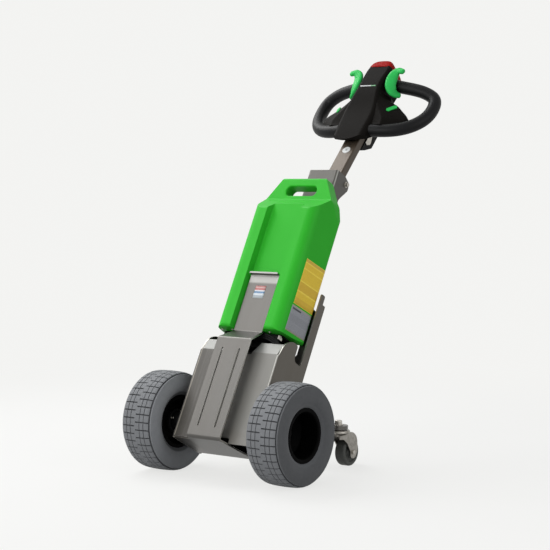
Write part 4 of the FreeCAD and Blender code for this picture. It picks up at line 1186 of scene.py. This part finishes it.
def lead(name, path):
    """Ribbed tube along a path: r (1 + share cos(2 pi length / pitch)). Returns its length."""
    rough_curve = smooth_through(path, 14)
    steps = np.linalg.norm(np.diff(rough_curve, axis=0), axis=1)
    length = np.concatenate([[0], np.cumsum(steps)])
    even = np.linspace(0, length[-1], int(length[-1] / RIB_PITCH * 5))
    curve = np.stack([np.interp(even, length, rough_curve[:, k]) for k in range(3)], -1)
    ribbed = LEAD_R * (1 + RIB_SHARE * np.cos(2 * np.pi * even / RIB_PITCH))
    grid = band(np.column_stack([curve, ribbed, ribbed]), LEAD_FACING, 1, 14)
    piece = close_poles(grid_mesh(name, column(grid), grip_black, loop_v=True))
    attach(piece, "chassis")
    return length[-1]


for number in range(3):
    drop = LEAD_DROP * number
    path = [(24, -25, 272 - drop), (46, -26, 271 - drop), (66, -26, 267 - drop),
            (84, -25, 260 - drop), (100, -22, 249 - drop / 2), (112, -14 + drop / 2, 232),
            (118, -4 + drop, 212)]
    print("lead", number + 1, "is", round(lead(f"lead_{number + 1}", path)), "mm long")

# %% Closing sheet and clip
TOE = [(-56, -57.5), (26, -60.5), (26, -62.5), (-56, -59.5)]
CLIP = [(-27, 259), (-8, 259), (-8, 266), (-15, 272), (-27, 270)]
plate("toe_plate", TOE, -131.0, -78.0, column, sheet, "chassis")
plate("tray_clip", CLIP, 97.0, 99.0, column, zinc, "chassis")
print("closing sheet and clip placed")

# %% [markdown]
# ## Stripe on the head
#
# The head carries a short pale bar with a green end. It is blank here: a film laid on
# the front face, coloured by a mask over x.

# %% Head stripe
HEAD_FACE, HEAD_SLOPE, STRIPE_S = -62.4, -0.117, 357.0
STRIPE_HALF, STRIPE_ENDS = 2.2, (-29, 27)
GREEN_FROM = (0.0086, 0.0094)
bar = Finish("stripe_head", Roughness=0.45)
bar_x, _, _ = xyz(bar.place())
grain = bar.noise(700.0, 3.0)
bar.set(Base_Color=bar.mix(bar_x.band(*GREEN_FROM),
                           bar.mix(grain, (0.34, 0.35, 0.35), (0.44, 0.45, 0.45)),
                           bar.mix(grain, (0.06, 0.22, 0.09), (0.08, 0.27, 0.11))),
        Normal=bar.bump(grain, 0.00002))
along, across = places_on((-STRIPE_HALF, STRIPE_HALF, 4), (*STRIPE_ENDS, 16))
out = HEAD_FACE - 0.3 + HEAD_SLOPE * along
film("head_stripe", tiller(np.stack([across, out, STRIPE_S + along], -1)), bar.material, "tiller")
print("head stripe placed")

# %% [markdown]
# ## Finish for each CAD piece
#
# A CAD piece keeps its mesh and only gets a better material. The table goes by the
# start of a node's name, so that a left and a right piece share one row.

# %% Assign
FINISHES = (
    ("side_plate", sheet_side), ("front_cover", cover_sheet), ("hitch_bracket", sheet_tongue),
    ("floor_plate", sheet), ("back_plate", sheet), ("mast", sheet_mast),
    ("drive_unit", unit_coat), ("axle_tube", unit_coat), ("axle_shaft", zinc), ("hub", unit_coat),
    ("rim", rim_coat_and_shade), ("tyre", tyre_rubber), ("battery_case", green_case),
    ("battery_tray", unit_coat), ("battery_socket", socket_black), ("tiller_tube", sheet_tiller),
    ("hinge_pin", zinc), ("head_housing", head_black), ("head_socket", socket_black),
    ("handle_loop", grip_black), ("red_button", red_cap), ("paddle", green_key),
    ("horn_button", green_key), ("caster_beam", sheet_level), ("caster_arm", sheet_level),
    ("caster_wheel", caster_rubber), ("caster_axle", zinc), ("caster_fork", fork_zinc),
    ("kingpin", zinc),
)

for node_name, node in nodes.items():
    chosen = [finish for start, finish in FINISHES if node_name.startswith(start)]
    node.data.materials.clear()
    node.data.materials.append(chosen[0])
print("finishes on", len(nodes), "nodes")
